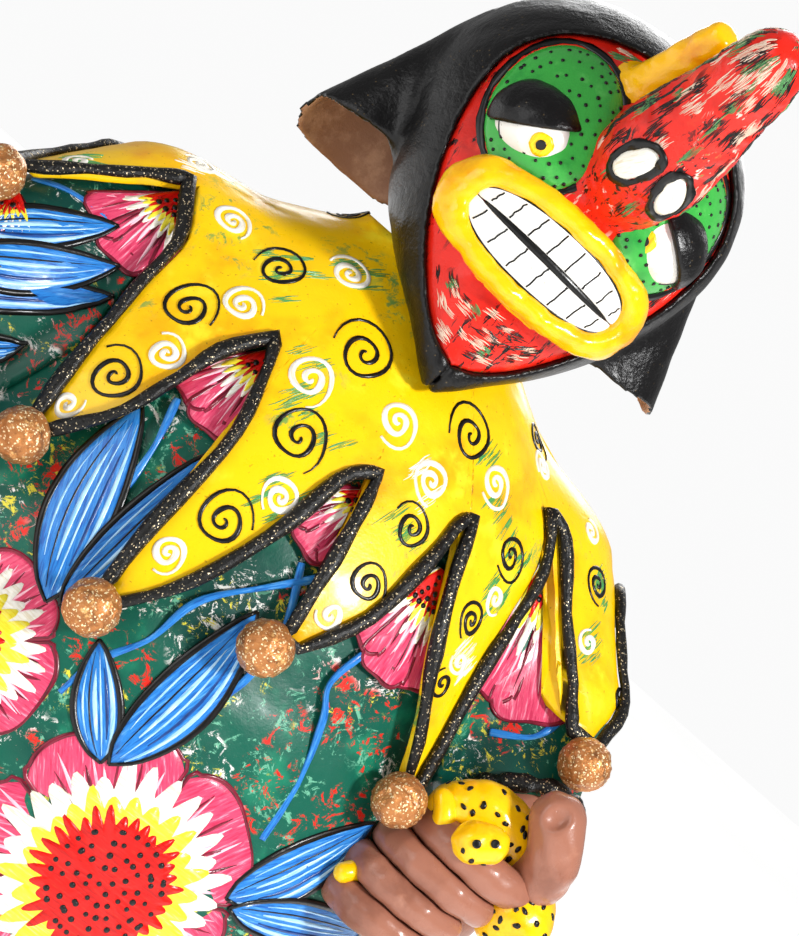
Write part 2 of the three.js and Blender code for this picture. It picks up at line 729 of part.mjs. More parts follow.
const PAINT = {
  wood: ['#9b7a4c', 0.8, 0],
  robe: ['#0f5a48', 0.45, 0],
  cape: ['#f2c010', 0.35, 0],
  black: ['#0b0b0c', 0.4, 0],
  glitter: ['#0a0a0a', 0.3, 0.2],
  bronze: ['#a8682c', 0.35, 0.7],
  red: ['#cf1f14', 0.35, 0],
  yellow: ['#f4b80c', 0.25, 0],
  green: ['#3f9b3a', 0.35, 0],
  white: ['#f2f2ee', 0.3, 0],
  skin: ['#7d4a36', 0.4, 0],
  spotted: ['#f0b411', 0.35, 0],
};

const model = new THREE.Group();
model.name = 'carnival_figure';

function place(name, shape, paint) {
  const geometry = shape.isBufferGeometry ? weld(shape) : toGeometry(shape);
  const [color, roughness, metalness] = PAINT[paint];
  const material = new THREE.MeshStandardMaterial({ color, roughness, metalness });
  material.name = paint;
  const mesh = new THREE.Mesh(geometry.toNonIndexed(), material);
  mesh.name = name;
  model.add(mesh);
}

// +1 is the figure's own left side, at +X.
const SIDES = [1, -1];

function sideName(side) {
  return side < 0 ? 'right' : 'left';
}

// Wrist shift on the +X side before mirroring.
function handShift(side) {
  if (side > 0) {
    return new THREE.Vector3();
  }
  return new THREE.Vector3(-FREE_HAND_SHIFT.x, FREE_HAND_SHIFT.y, FREE_HAND_SHIFT.z);
}

function buildFrame() {
  place('base_board', makeBoard(), 'wood');
  place('spine_post', upright(POST_RADIUS, BOARD_THICKNESS + GAP, POST_TOP, 16), 'wood');
  const bar = new THREE.BoxGeometry(BAR_LENGTH, BAR_SIZE * 2, BAR_SIZE);
  bar.translate(0, 0, BAR_HEIGHT);
  const hole = toSolid(upright(POST_RADIUS + GAP, BAR_HEIGHT - 30, BAR_HEIGHT + 30, 16));
  place('shoulder_bar', cut(toSolid(bar), hole), 'wood');
  const neckOutside = toSolid(upright(NECK_RADIUS, 372, 446, 20));
  const neckBore = toSolid(upright(POST_RADIUS + GAP, 360, 460, 16));
  place('neck', cut(neckOutside, neckBore), 'black');
}

const capeSolid = toSolid(makeCape());
const capeGrown = toSolid(makeCape(GAP)).add(capeSolid);

function buildBody() {
  const cord = toSolid(makeEdgeCord());
  place('cape_shell', capeSolid, 'cape');
  place('cape_edge_cord', cut(cord, capeSolid), 'glitter');
  CAPE_TEETH.forEach((tooth, k) => {
    const ball = cut(toSolid(makeBall(k)), capeGrown, cord);
    place(`cape_ball_${String(k + 1).padStart(2, '0')}`, ball, 'bronze');
  });
  place('robe_shell', cut(toSolid(makeRobe()), capeGrown), 'robe');
  const robeCutter = toSolid(robeBlock());
  SIDES.forEach((side) => {
    const shift = handShift(side);
    const flip = (geometry) => (side < 0 ? mirrorX(geometry) : geometry);
    const sleeve = toSolid(flip(makeSleeve(shift)));
    const cuff = toSolid(flip(makeCuff(shift)));
    place(`sleeve_${sideName(side)}`, cut(sleeve, robeCutter, capeGrown), 'robe');
    place(`cuff_band_${sideName(side)}`, cut(cuff, robeCutter, capeGrown), 'glitter');
  });
}

function buildHead() {
  const outside = toSolid(headBlock(0));
  const face = toSolid(headBlock(-MASK_RECESS));
  const capeCutter = toSolid(bodyBlock(CAPE_CLEARANCE + CAPE_THICKNESS + 0.6, CAPE_COLLAR + 1));
  const neckCutter = toSolid(upright(NECK_RADIUS + GAP * 2, 360, 447, 20));
  const hollow = toSolid(headBlock(-HOOD_WALL));
  const hood = cut(outside, hollow, toSolid(windowBlock(0)), capeCutter, capeGrown, neckCutter);
  place('hood_shell', hood, 'black');
  const maskHollow = toSolid(headBlock(-MASK_BACK));
  const mask = face.subtract(maskHollow).intersect(toSolid(windowBlock(WINDOW_GAP)));
  place('face_mask', cut(mask, capeCutter, capeGrown), 'red');

  const onMask = toSolid(headBlock(-MASK_RECESS + GAP));
  const onHood = toSolid(headBlock(GAP));
  const noseGrown = toSolid(makeNose(GAP));
  const lipsGrown = toSolid(makeLips(GAP));
  const hoodRim = onHood.subtract(toSolid(windowBlock(GAP)));
  SIDES.forEach((side) => {
    const name = sideName(side);
    const ball = toSolid(makeEye(side));
    const ballGrown = toSolid(makeEye(side, GAP));
    const lid = cut(makeLid(side), ballGrown, onMask, noseGrown, hoodRim);
    const lidGrown = makeLid(side, GAP);
    place(`eyeball_${name}`, cut(ball, onMask, noseGrown, hoodRim, lipsGrown), 'white');
    place(`eyelid_${name}`, lid, 'black');
    const socket = cut(
      makeSocket(side), onMask, ballGrown, lidGrown, noseGrown, hoodRim, lipsGrown);
    place(`eye_socket_${name}`, socket, 'green');
    const ear = makeEar(EAR_MOUTH_TILT[name]);
    warp(ear, (p) => p.setX(HEAD_X - side * p.x));
    place(`ear_${name}`, cut(toSolid(ear), onHood, capeCutter, capeGrown), 'black');
  });
  place('nose', cut(toSolid(makeNose()), onMask, hoodRim), 'red');
  SIDES.forEach((side) => {
    place(`nostril_${sideName(side)}`, cut(toSolid(makeNostril(side)), noseGrown), 'white');
  });
  const horn = turned(HORN_PROFILE, HORN_ROOT, HORN_END, 12);
  place('horn', cut(toSolid(horn), onMask, hoodRim, noseGrown), 'yellow');
  place('lips', cut(toSolid(makeLips()), onMask, noseGrown), 'yellow');
  place('teeth_upper', cut(toSolid(makeTeeth(1)), onMask, lipsGrown, noseGrown), 'white');
  place('teeth_lower', cut(toSolid(makeTeeth(-1)), onMask, lipsGrown), 'white');
}

function buildHands() {
  const bodyGrown = toSolid(leopardBody(GAP + 0.2));
  const headGrown = toSolid(leopardHead(GAP + 0.2));
  const body = toSolid(leopardBody());
  const robeSide = toSolid(bodyBlock(1, 396));
  const ballGrown = toSolid(makeBall(NEAR_HAND_TOOTH, GAP));
  place('leopard_head', cut(toSolid(leopardHead()), bodyGrown), 'spotted');

  SIDES.forEach((side) => {
    const shift = handShift(side);
    const name = sideName(side);
    const held = side > 0 ? [bodyGrown, headGrown, ballGrown] : [ballGrown];
    const moved = (solid) => solid.translate([shift.x, shift.y, shift.z]);
    const flip = (solid) => (side < 0 ? mirrorX(toGeometry(solid)) : solid);
    const sleeveGrown = toSolid(makeSleeve(shift, GAP));
    const fingersGrown = FINGER_NAMES.map((label, k) => moved(toSolid(makeFinger(k, GAP))));
    const thumbGrown = moved(toSolid(makeThumb(GAP)));
    const palm = cut(
      moved(makePalm()), sleeveGrown, ...fingersGrown, thumbGrown, robeSide, ...held);
    place(`palm_${name}`, flip(palm), 'skin');
    const thumb = cut(moved(toSolid(makeThumb())), ...fingersGrown, sleeveGrown, ...held);
    place(`thumb_${name}`, flip(thumb), 'skin');
    const fingers = FINGER_NAMES.map((label, k) => {
      const others = fingersGrown.slice(0, k);
      return cut(moved(toSolid(makeFinger(k))), ...others, robeSide, ...held);
    });
    fingers.forEach((finger, k) => {
      place(`finger_${FINGER_NAMES[k]}_${name}`, flip(finger), 'skin');
    });
    if (side > 0) {
      const around = [sleeveGrown, robeSide, capeGrown, ballGrown, thumb, palm, ...fingers];
      place('leopard_body', cut(body, ...around), 'spotted');
      const beside = [bodyGrown, headGrown, robeSide, ballGrown, palm, ...fingersGrown];
      LEOPARD_LIMBS.forEach(([limb, path, radii]) => {
        place(limb, cut(toSolid(sausage(path, radii, 8, 0, 3)), ...beside), 'spotted');
      });
    }
  });
}

buildFrame();
buildBody();
buildHead();
buildHands();

export default model;
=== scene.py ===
"""Looks of a painted papier-mache carnival figure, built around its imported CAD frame.

Layout numbers are millimetres in the CAD frame: +Z up, the front faces -Y. The driving
dimensions follow the part's. Meshes are turned into metres when they are made. Colours are
given as 0-255 sRGB. Angles on the body are in degrees: 0 is the front, +90 is +X. Camera
and lamps are placed in metres.
"""

import math

import bmesh
import bpy
import numpy as np
import openvdb
from mathutils import Matrix, Vector


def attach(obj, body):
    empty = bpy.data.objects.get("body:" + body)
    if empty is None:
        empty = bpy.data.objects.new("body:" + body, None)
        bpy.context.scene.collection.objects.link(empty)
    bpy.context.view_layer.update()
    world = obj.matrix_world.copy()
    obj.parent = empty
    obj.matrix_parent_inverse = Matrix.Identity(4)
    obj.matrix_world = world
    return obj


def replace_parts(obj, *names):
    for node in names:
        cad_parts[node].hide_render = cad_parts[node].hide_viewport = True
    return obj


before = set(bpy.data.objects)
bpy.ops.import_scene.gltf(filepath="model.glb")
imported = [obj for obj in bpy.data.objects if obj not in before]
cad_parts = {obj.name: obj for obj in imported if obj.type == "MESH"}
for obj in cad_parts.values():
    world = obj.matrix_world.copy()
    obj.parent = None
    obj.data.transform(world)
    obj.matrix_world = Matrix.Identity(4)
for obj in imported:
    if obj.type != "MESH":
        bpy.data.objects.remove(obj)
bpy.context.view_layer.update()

MM = 0.001
RNG = np.random.default_rng(7)

# ------------------------------------------------------------------ driving dimensions

BASE_HALF_WIDTH = 160
BASE_HALF_DEPTH = 136
# Rounded edge of the base: inset and height.
BASE_EDGE = [(6, 0), (2, 0.4), (0.5, 2), (0, 4), (0, 8), (0.5, 10), (2, 11.6), (6, 12)]

# Robe: height, half width, half depth.
ROBE_PROFILE = [
    (12, 150, 126), (100, 152, 130), (190, 147, 127), (250, 138, 120), (300, 126, 108),
    (330, 114, 94), (352, 100, 80), (372, 82, 64), (388, 60, 48), (400, 40, 35), (412, 30, 29),
]
ROBE_HEM = 12.3
ROBE_COLLAR = 404
ROBE_WALL = 6
ROBE_TUCK = 2.4
ROBE_TUCK_RANGE = (244, 268)

SHOULDER = ((94, -6, 338), 38)
ELBOW = ((128, -32, 312), 29)
WRIST = ((143, -61, 279), 20)
ARM_BLEND = 22
FREE_HAND_SHIFT = (6, 4, -13)

CAPE_INSIDE = 1.6
CAPE_OUTSIDE = 4.6
CAPE_COLLAR = 407
TOOTH_TIP_HALF_WIDTH = 3.6
# Teeth: angle and height of the tip, of the notch after it, angle of the ball.
CAPE_TEETH = [
    (-76, 337, -72, 373, -71), (-45, 278, -32, 353, -44), (-18, 253, 5, 342, -18.5),
    (9, 280, 32, 352, 5), (45, 266, 60, 370, 41), (64, 316, 82, 364, 61.5),
    (98, 296, 112, 356, 98), (128, 262, 143, 350, 128), (157, 272, 171, 352, 157),
    (186, 256, 200, 350, 186), (214, 270, 226, 354, 214), (240, 296, 256, 366, 240),
]
# Places on a side of a tooth, as fractions of the way from notch to tip: around, down.
TOOTH_SIDE = [(0.3, 0.16), (0.5, 0.4), (0.7, 0.7)]
# Teeth of the front whose sides were cut otherwise, by number from 0 and side.
HAND_CUT_SIDES = {
    (1, "before"): [(0.45, 0.19), (0.68, 0.45), (0.86, 0.74)],
    (1, "after"): [(0.34, 0.2), (0.4, 0.46), (0.52, 0.72)],
    (2, "before"): [(0.42, 0.12), (0.84, 0.36), (0.9, 0.74)],
    (2, "after"): [(0.28, 0.1), (0.45, 0.4), (0.72, 0.77)],
    (3, "after"): [(0.2, 0.1), (0.4, 0.36), (0.66, 0.7)],
    (4, "before"): [(-0.04, 0.26), (0.24, 0.56), (0.7, 0.8)],
    (4, "after"): [(0.13, 0.16), (0.58, 0.38), (0.96, 0.64)],
    (5, "before"): [(1.35, 0.06), (1.15, 0.4), (1.25, 0.7)],
}
CORD_RADIUS = 2.2
BALL_RADIUS = 10
BALL_BEYOND = 6

HEAD_X = 5
HEAD_MIDDLE = 455
# Head: height, half width, centre depth, half depth.
HEAD_PROFILE = [
    (374, 2, -74, 3), (381, 10, -70, 10), (390, 20, -60, 20), (402, 34, -43, 38),
    (418, 48, -27, 54), (440, 59, -19, 62), (462, 65, -15, 66), (482, 65, -13, 65),
    (500, 58, -12, 59), (514, 46, -11, 47), (525, 28, -10, 29), (531, 2, -10, 2),
]
HOOD_WALL = 6
MASK_RECESS = 2.6
MASK_BACK = 9
WINDOW = [
    (386, 0), (390, 10), (400, 22), (418, 36), (440, 47), (462, 53), (482, 53), (498, 45),
    (509, 31), (515, 14), (516, 0),
]
EYE_SPREAD = 28
EYE_DEPTH = -62
EYE_HEIGHT = 468
EYE_SIZE = (18.5, 18, 15)
# Both eyes look to the same side: across and height of each iris.
IRIS_AT = {1: (27, 464), -1: (-24, 464)}
LID_THICKNESS = 2.6
LID_TILT = 0.6
LID_RISE = 3
SOCKET_SPREAD = 29
SOCKET_HEIGHT = 475
SOCKET_HALF_WIDTH = 21
SOCKET_HALF_HEIGHT = 27.5
SOCKET_THICKNESS = 5.5
NOSE_ROOT = (HEAD_X + 5, -70, 472)
NOSE_END = (HEAD_X + 3, -122, 534)
NOSE_PROFILE = [
    (-10, 13), (4, 17.5), (20, 20.5), (34, 19.4), (50, 17), (64, 14.8), (75, 13.6), (84, 11.2),
    (90, 6.6), (92, 0.5),
]
NOSTRIL_ALONG = 25
NOSTRIL_SIDE = 8.6
HORN_ROOT = (-6, -56, 500)
HORN_END = (-3, -88, 534)
HORN_PROFILE = [(-6, 9.5), (8, 8.6), (24, 7.4), (44, 6.4), (48, 4.4), (49, 0.5)]
MOUTH_HEIGHT = 435.5
MOUTH_DEPTH = -82
MOUTH_HALF_LENGTH = 39
MOUTH_HALF_HEIGHT = 16.5
MOUTH_BEND = 150
MOUTH_SLANT = 0.035
LIP_RADIUS = 4.6
EAR_TOP = (-46, -2, 498)
EAR_MOUTH = (-61, 0, 423)
EAR_OUTSIDE = [(0, 1), (0.05, 8), (0.22, 15), (0.48, 20.5), (0.76, 25), (1, 29)]
EAR_WALL = 2.6
EAR_FLATNESS = 0.72
EAR_TILT = {1: -0.1, -1: 0.5}

FINGER_RADIUS = 6.8
FINGER_PITCH = 12.4
FINGER_TOP = 259
FINGER_PATH = [(111, -76), (103, -88), (109, -102), (125, -108), (139, -104)]
FINGER_RISE = 4
FINGER_NAMES = ("index", "middle", "ring", "little")
FINGER_SET = (6, 1, -2, -1)
FINGER_SHORT = (0, 1, 3, 7)
PALM_AT = (131, -84, 241)
PALM_SIZE = (20, 16, 28)
WRIST_PATH = [(143, -62, 284), (141, -68, 270), (136, -76, 256), (131, -82, 242)]
THUMB_PATH = [(148, -85, 262), (150, -99, 269), (147, -106, 280), (139, -105, 291)]
LEOPARD_PATH = [
    (110, -92, 268), (121, -92, 275), (136, -90, 273), (150, -88, 264), (154, -99, 253),
]
LEOPARD_RADII = [8.5, 11.5, 12.5, 13, 13.5]
LEOPARD_HEAD_X = 121
LEOPARD_HEAD_Z = 268
LEOPARD_HEAD_RADIUS = 8

# ------------------------------------------------------------------ numbers and tables


def table_at(table, position, column=1):
    """Smooth value of one column of a table whose first column is the position."""
    rows = np.asarray(table, float)
    at = rows[:, 0]
    value = rows[:, column]
    slope = np.empty_like(value)
    slope[1:-1] = (value[2:] - value[:-2]) / (at[2:] - at[:-2])
    slope[0] = (value[1] - value[0]) / (at[1] - at[0])
    slope[-1] = (value[-1] - value[-2]) / (at[-1] - at[-2])
    where = np.clip(position, at[0], at[-1])
    k = np.clip(np.searchsorted(at, where, side="right") - 1, 0, len(at) - 2)
    span = at[k + 1] - at[k]
    t = (where - at[k]) / span
    start = (1 + 2 * t) * (1 - t) ** 2 * value[k] + t * (1 - t) ** 2 * span * slope[k]
    return start + t * t * (3 - 2 * t) * value[k + 1] + t * t * (t - 1) * span * slope[k + 1]


def smooth_min(a, b, reach):
    h = np.clip(0.5 + 0.5 * (b - a) / reach, 0, 1)
    return b + (a - b) * h - reach * h * (1 - h)


def smooth_max(a, b, reach):
    return -smooth_min(-a, -b, reach)


def smoothstep(value, low, high):
    t = np.clip((value - low) / (high - low), 0, 1)
    return t * t * (3 - 2 * t)


def unit(vectors):
    length = np.linalg.norm(vectors, axis=-1, keepdims=True)
    return vectors / np.maximum(length, 1e-9)


def full_turn(count):
    """Equal steps once round, in radians."""
    return np.linspace(0, 2 * math.pi, count, endpoint=False)


def lumps(x, y, z, size, seed):
    """Soft unevenness: four crossed waves about this long, between -1 and 1."""
    total = 0
    for k in range(4):
        turn = seed * 1.7 + k * 2.4
        length = size * (0.75 + 0.2 * k) / (2 * math.pi)
        wave = x * math.sin(turn) + y * math.cos(turn) + z * math.sin(turn * 1.3 + k)
        total = total + np.sin(wave / length + turn * 3)
    return total / 4


def smooth_path(points, count):
    """Evenly numbered points on a Catmull-Rom curve through the given ones."""
    points = np.asarray(points, float)
    last = len(points) - 1
    place = np.linspace(0, last, count)
    k = np.minimum(place.astype(int), last - 1)
    t = (place - k)[:, None]
    a, b, c, d = (points[np.clip(k + shift, 0, last)] for shift in (-1, 0, 1, 2))
    return 0.5 * (2 * b + (c - a) * t + (2 * a - 5 * b + 4 * c - d) * t**2
                  + (3 * b - a - 3 * c + d) * t**3)


# ------------------------------------------------------------------ distance functions


def torso_distance(x, y, z):
    width = table_at(ROBE_PROFILE, z, 1)
    depth = table_at(ROBE_PROFILE, z, 2)
    return (np.hypot(x / width, y / depth) - 1) * np.minimum(width, depth) * 0.9


def taper_distance(x, y, z, start, end):
    """Distance to a rod between two balls, each a ((x, y, z), radius)."""
    (ax, ay, az), ra = start
    (bx, by, bz), rb = end
    dx, dy, dz = bx - ax, by - ay, bz - az
    t = ((x - ax) * dx + (y - ay) * dy + (z - az) * dz) / (dx * dx + dy * dy + dz * dz)
    t = np.clip(t, 0, 1)
    near = np.sqrt((x - ax - t * dx) ** 2 + (y - ay - t * dy) ** 2 + (z - az - t * dz) ** 2)
    return near - ra - t * (rb - ra)


def unevenness(x, y, z):
    return 0.45 * lumps(x, y, z, 46, 1) + 0.22 * lumps(x, y, z, 15, 2)


def upper_body_distance(x, y, z):
    arm = taper_distance(np.abs(x), y, z, SHOULDER, ELBOW)
    return smooth_min(torso_distance(x, y, z), arm, ARM_BLEND) - unevenness(x, y, z)


def robe_distance(x, y, z):
    return upper_body_distance(x, y, z) + ROBE_TUCK * smoothstep(z, *ROBE_TUCK_RANGE)


def whole_body_distance(x, y, z):
    side = np.abs(x)
    arm = np.minimum(
        taper_distance(side, y, z, SHOULDER, ELBOW), taper_distance(side, y, z, ELBOW, WRIST))
    return smooth_min(torso_distance(x, y, z), arm, ARM_BLEND) - unevenness(x, y, z)


def cape_distance(x, y, z):
    return whole_body_distance(x, y, z) - CAPE_OUTSIDE


def ellipsoid_distance(x, y, z, at, size):
    reach = np.sqrt(
        ((x - at[0]) / size[0]) ** 2 + ((y - at[1]) / size[1]) ** 2 + ((z - at[2]) / size[2]) ** 2)
    return (reach - 1) * min(size)


def chain_distance(x, y, z, path, radii, steps=14):
    """Distance to a sausage that follows a smooth path, its radius changing along it."""
    points = smooth_path(path, steps)
    sizes = np.interp(np.linspace(0, 1, steps), np.linspace(0, 1, len(radii)), radii)
    best = None
    for k in range(steps - 1):
        part = taper_distance(x, y, z, (points[k], sizes[k]), (points[k + 1], sizes[k + 1]))
        best = part if best is None else np.minimum(best, part)
    return best


def turned_distance(x, y, z, profile, root, end):
    """Distance to a turned shape. The profile gives the radius at each place along it."""
    root = np.asarray(root, float)
    axis = unit(np.asarray(end, float) - root)
    along = (x - root[0]) * axis[0] + (y - root[1]) * axis[1] + (z - root[2]) * axis[2]
    square = (x - root[0]) ** 2 + (y - root[1]) ** 2 + (z - root[2]) ** 2 - along**2
    away = np.sqrt(np.maximum(square, 0)) - table_at(profile, along, 1)
    caps = np.maximum(along - profile[-1][0], profile[0][0] - along)
    return np.maximum(away * 0.9, caps)


def head_distance(x, y, z, offset=0.0):
    top = HEAD_PROFILE[-1][0] - HEAD_MIDDLE
    level = HEAD_MIDDLE + (z - HEAD_MIDDLE) / (1 + offset / top)
    width = np.maximum(0.6, table_at(HEAD_PROFILE, level, 1) + offset)
    middle = table_at(HEAD_PROFILE, level, 2)
    depth = np.maximum(0.6, table_at(HEAD_PROFILE, level, 3) + offset)
    round_about = (np.hypot((x - HEAD_X) / width, (y - middle) / depth) - 1)
    away = round_about * np.minimum(width, depth)
    caps = np.maximum(level - HEAD_PROFILE[-1][0], HEAD_PROFILE[0][0] - level)
    return np.maximum(away, caps) - 0.4 * lumps(x, y, z, 24, 5)


def mask_front(x, y, z):
    return head_distance(x, y, z, -MASK_RECESS)


def room_for_cape(x, y, z):
    """Space under the head that belongs to the cape."""
    return np.maximum(whole_body_distance(x, y, z) - CAPE_OUTSIDE - 0.8, z - 409)


def window_distance(x, y, z, inset=0.0):
    """Prism of the face opening, open towards the front."""
    half = np.maximum(table_at(WINDOW, z, 1) - inset, -1)
    return np.maximum((np.abs(x - HEAD_X) - half) * 0.8, y + 30)


def nose_distance(x, y, z):
    bump = 0.5 * lumps(x, y, z, 13, 8) + 0.3 * lumps(x, y, z, 6, 9)
    return turned_distance(x, y, z, NOSE_PROFILE, NOSE_ROOT, NOSE_END) - bump


def side_name(side):
    return "left" if side > 0 else "right"


def eye_centre(side):
    return (HEAD_X + side * EYE_SPREAD, EYE_DEPTH, EYE_HEIGHT)


def socket_distance(x, y, z, side):
    """Oval pad that swells out of the mask, thickest in its middle."""
    across = (x - HEAD_X - side * SOCKET_SPREAD) / SOCKET_HALF_WIDTH
    up = (z - SOCKET_HEIGHT) / SOCKET_HALF_HEIGHT
    reach = np.sqrt(across**2 + up**2)
    swell = SOCKET_THICKNESS * np.sqrt(np.clip(1 - reach**2, 0, 1))
    pad = mask_front(x, y, z) - swell
    return np.maximum(pad, (reach - 1) * 20)


def eyeball_distance(x, y, z, side):
    return ellipsoid_distance(x, y, z, eye_centre(side), EYE_SIZE)


def lid_distance(x, y, z, side):
    at = eye_centre(side)
    ball = ellipsoid_distance(x, y, z, at, [size + LID_THICKNESS for size in EYE_SIZE])
    low = LID_RISE - (z - at[2]) * math.cos(LID_TILT) - side * (x - at[0]) * math.sin(LID_TILT)
    return smooth_max(ball - 0.25 * lumps(x, y, z, 9, 3), low, 1.5)


# ------------------------------------------------------------------ points on surfaces


def trace(distance, origins, directions, offset=0.0, steps=70):
    """First point of a surface met from each origin, all walked together."""
    points = np.array(origins, float)
    for _ in range(steps):
        gap = distance(points[:, 0], points[:, 1], points[:, 2]) - offset
        points = points + directions * (gap * 0.85)[:, None]
    return points


def body_points(distance, angles, heights, offset=0.0):
    """Outermost points of a body surface at these angles and heights."""
    angle = np.radians(np.asarray(angles, float).ravel())
    height = np.asarray(heights, float).ravel() + 0 * angle
    outward = np.stack([np.sin(angle), -np.cos(angle), 0 * angle], 1)
    start = outward * 232
    start[:, 2] = height
    return trace(distance, start, -outward, offset)


def front_points(distance, xs, zs, offset=0.0):
    xs = np.asarray(xs, float)
    start = np.stack([xs, np.full_like(xs, -160), np.asarray(zs, float)], 1)
    return trace(distance, start, np.array([0.0, 1.0, 0.0]), offset)


def normals_at(distance, points, step=0.5):
    columns = []
    for axis in np.eye(3) * step:
        more = points + axis
        less = points - axis
        columns.append(distance(*more.T) - distance(*less.T))
    return unit(np.stack(columns, 1))


def snap(distance, points, offset=0.0):
    """Points moved along the normal until they lie on the surface."""
    for _ in range(3):
        normal = normals_at(distance, points)
        gap = distance(*points.T) - offset
        points = points - normal * gap[:, None] * 0.95
    return points


# ------------------------------------------------------------------ meshes


def make_object(name, points, faces, material, brush=None):
    mesh = bpy.data.meshes.new(name)
    mesh.from_pydata((np.asarray(points) * MM).tolist(), [], faces)
    mesh.update()
    mesh.shade_smooth()
    if brush is not None:
        data = mesh.attributes.new("brush", "FLOAT_VECTOR", "POINT").data
        data.foreach_set("vector", np.asarray(brush, np.float32).ravel())
    mesh.materials.append(material)
    thing = bpy.data.objects.new(name, mesh)
    bpy.context.scene.collection.objects.link(thing)
    return thing


def dress(thing, slot, *nodes):
    """Hang a piece on the root body and hide the frame's nodes that it stands for. The slot, which
    names its finish, is not used.
    """
    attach(thing, "root")
    if nodes:
        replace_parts(thing, *nodes)
    return thing


def solid(name, distance, low, high, voxel, material):
    """Closed mesh of the surface where a distance function is zero."""
    low = np.asarray(low, float)
    x, y, z = (np.arange(a, b + voxel, voxel) for a, b in zip(low, high))
    values = distance(x[:, None, None], y[None, :, None], z[None, None, :])
    values = np.broadcast_to(values, (len(x), len(y), len(z))).astype(np.float32)
    steep = np.sqrt(sum(part**2 for part in np.gradient(values, voxel)))
    values = values / np.clip(steep, 0.4, 8)
    band = 3 * voxel
    values = np.clip(values, -band, band)
    for axis in range(3):
        for end in (0, -1):
            wall = np.moveaxis(values, axis, 0)[end]
            wall[...] = np.maximum(wall, voxel * 0.5)
    grid = openvdb.FloatGrid(background=band)
    grid.copyFromArray(values)
    points, quads = grid.convertToQuads(isovalue=0.0)
    points = points.astype(float) * voxel + low
    corner = points[quads]
    turn = np.cross(corner[:, 2] - corner[:, 0], corner[:, 3] - corner[:, 1])
    if np.sum(corner.mean(axis=1) * turn) < 0:
        quads = quads[:, ::-1]
    return make_object(name, points, quads.tolist(), material)


def clad(node, slot, distance, low, high, voxel, material, name=None):
    """Solid that stands for a node of the frame."""
    name = name or f"{node}_painted"
    return dress(solid(name, distance, low, high, voxel, material), slot, node)


def grid_faces(rows, columns, closed_rows=False, closed_columns=False):
    """Quads of a grid whose points are numbered row by row."""
    row = np.arange(rows if closed_rows else rows - 1)
    column = np.arange(columns if closed_columns else columns - 1)
    r, c = np.meshgrid(row, column, indexing="ij")
    below = (r + 1) % rows
    beside = (c + 1) % columns
    quads = np.stack([r * columns + c, r * columns + beside,
                      below * columns + beside, below * columns + c], -1)
    return quads.reshape(-1, 4)


def facing_out(points, faces):
    corner = points[faces]
    turn = np.cross(corner[:, 2] - corner[:, 0], corner[:, 3] - corner[:, 1])
    middle = corner.mean(axis=1) - points.mean(axis=0)
    return faces if np.sum(middle * turn) > 0 else faces[:, ::-1]


def loft(name, rings, material):
    """Closed tube through equal rings whose first follows its last."""
    rows, columns = rings.shape[:2]
    faces = grid_faces(rows, columns, closed_rows=True, closed_columns=True)
    points = rings.reshape(-1, 3)
    return make_object(name, points, facing_out(points, faces).tolist(), material)


# ------------------------------------------------------------------ materials


def linear(tint):
    """Red, green and blue from 0-255 sRGB to the linear colour that the nodes take."""
    parts = []
    for value in tint:
        value = value / 255
        parts.append(value / 12.92 if value <= 0.04045 else ((value + 0.055) / 1.055) ** 2.4)
    return (*parts, 1.0)


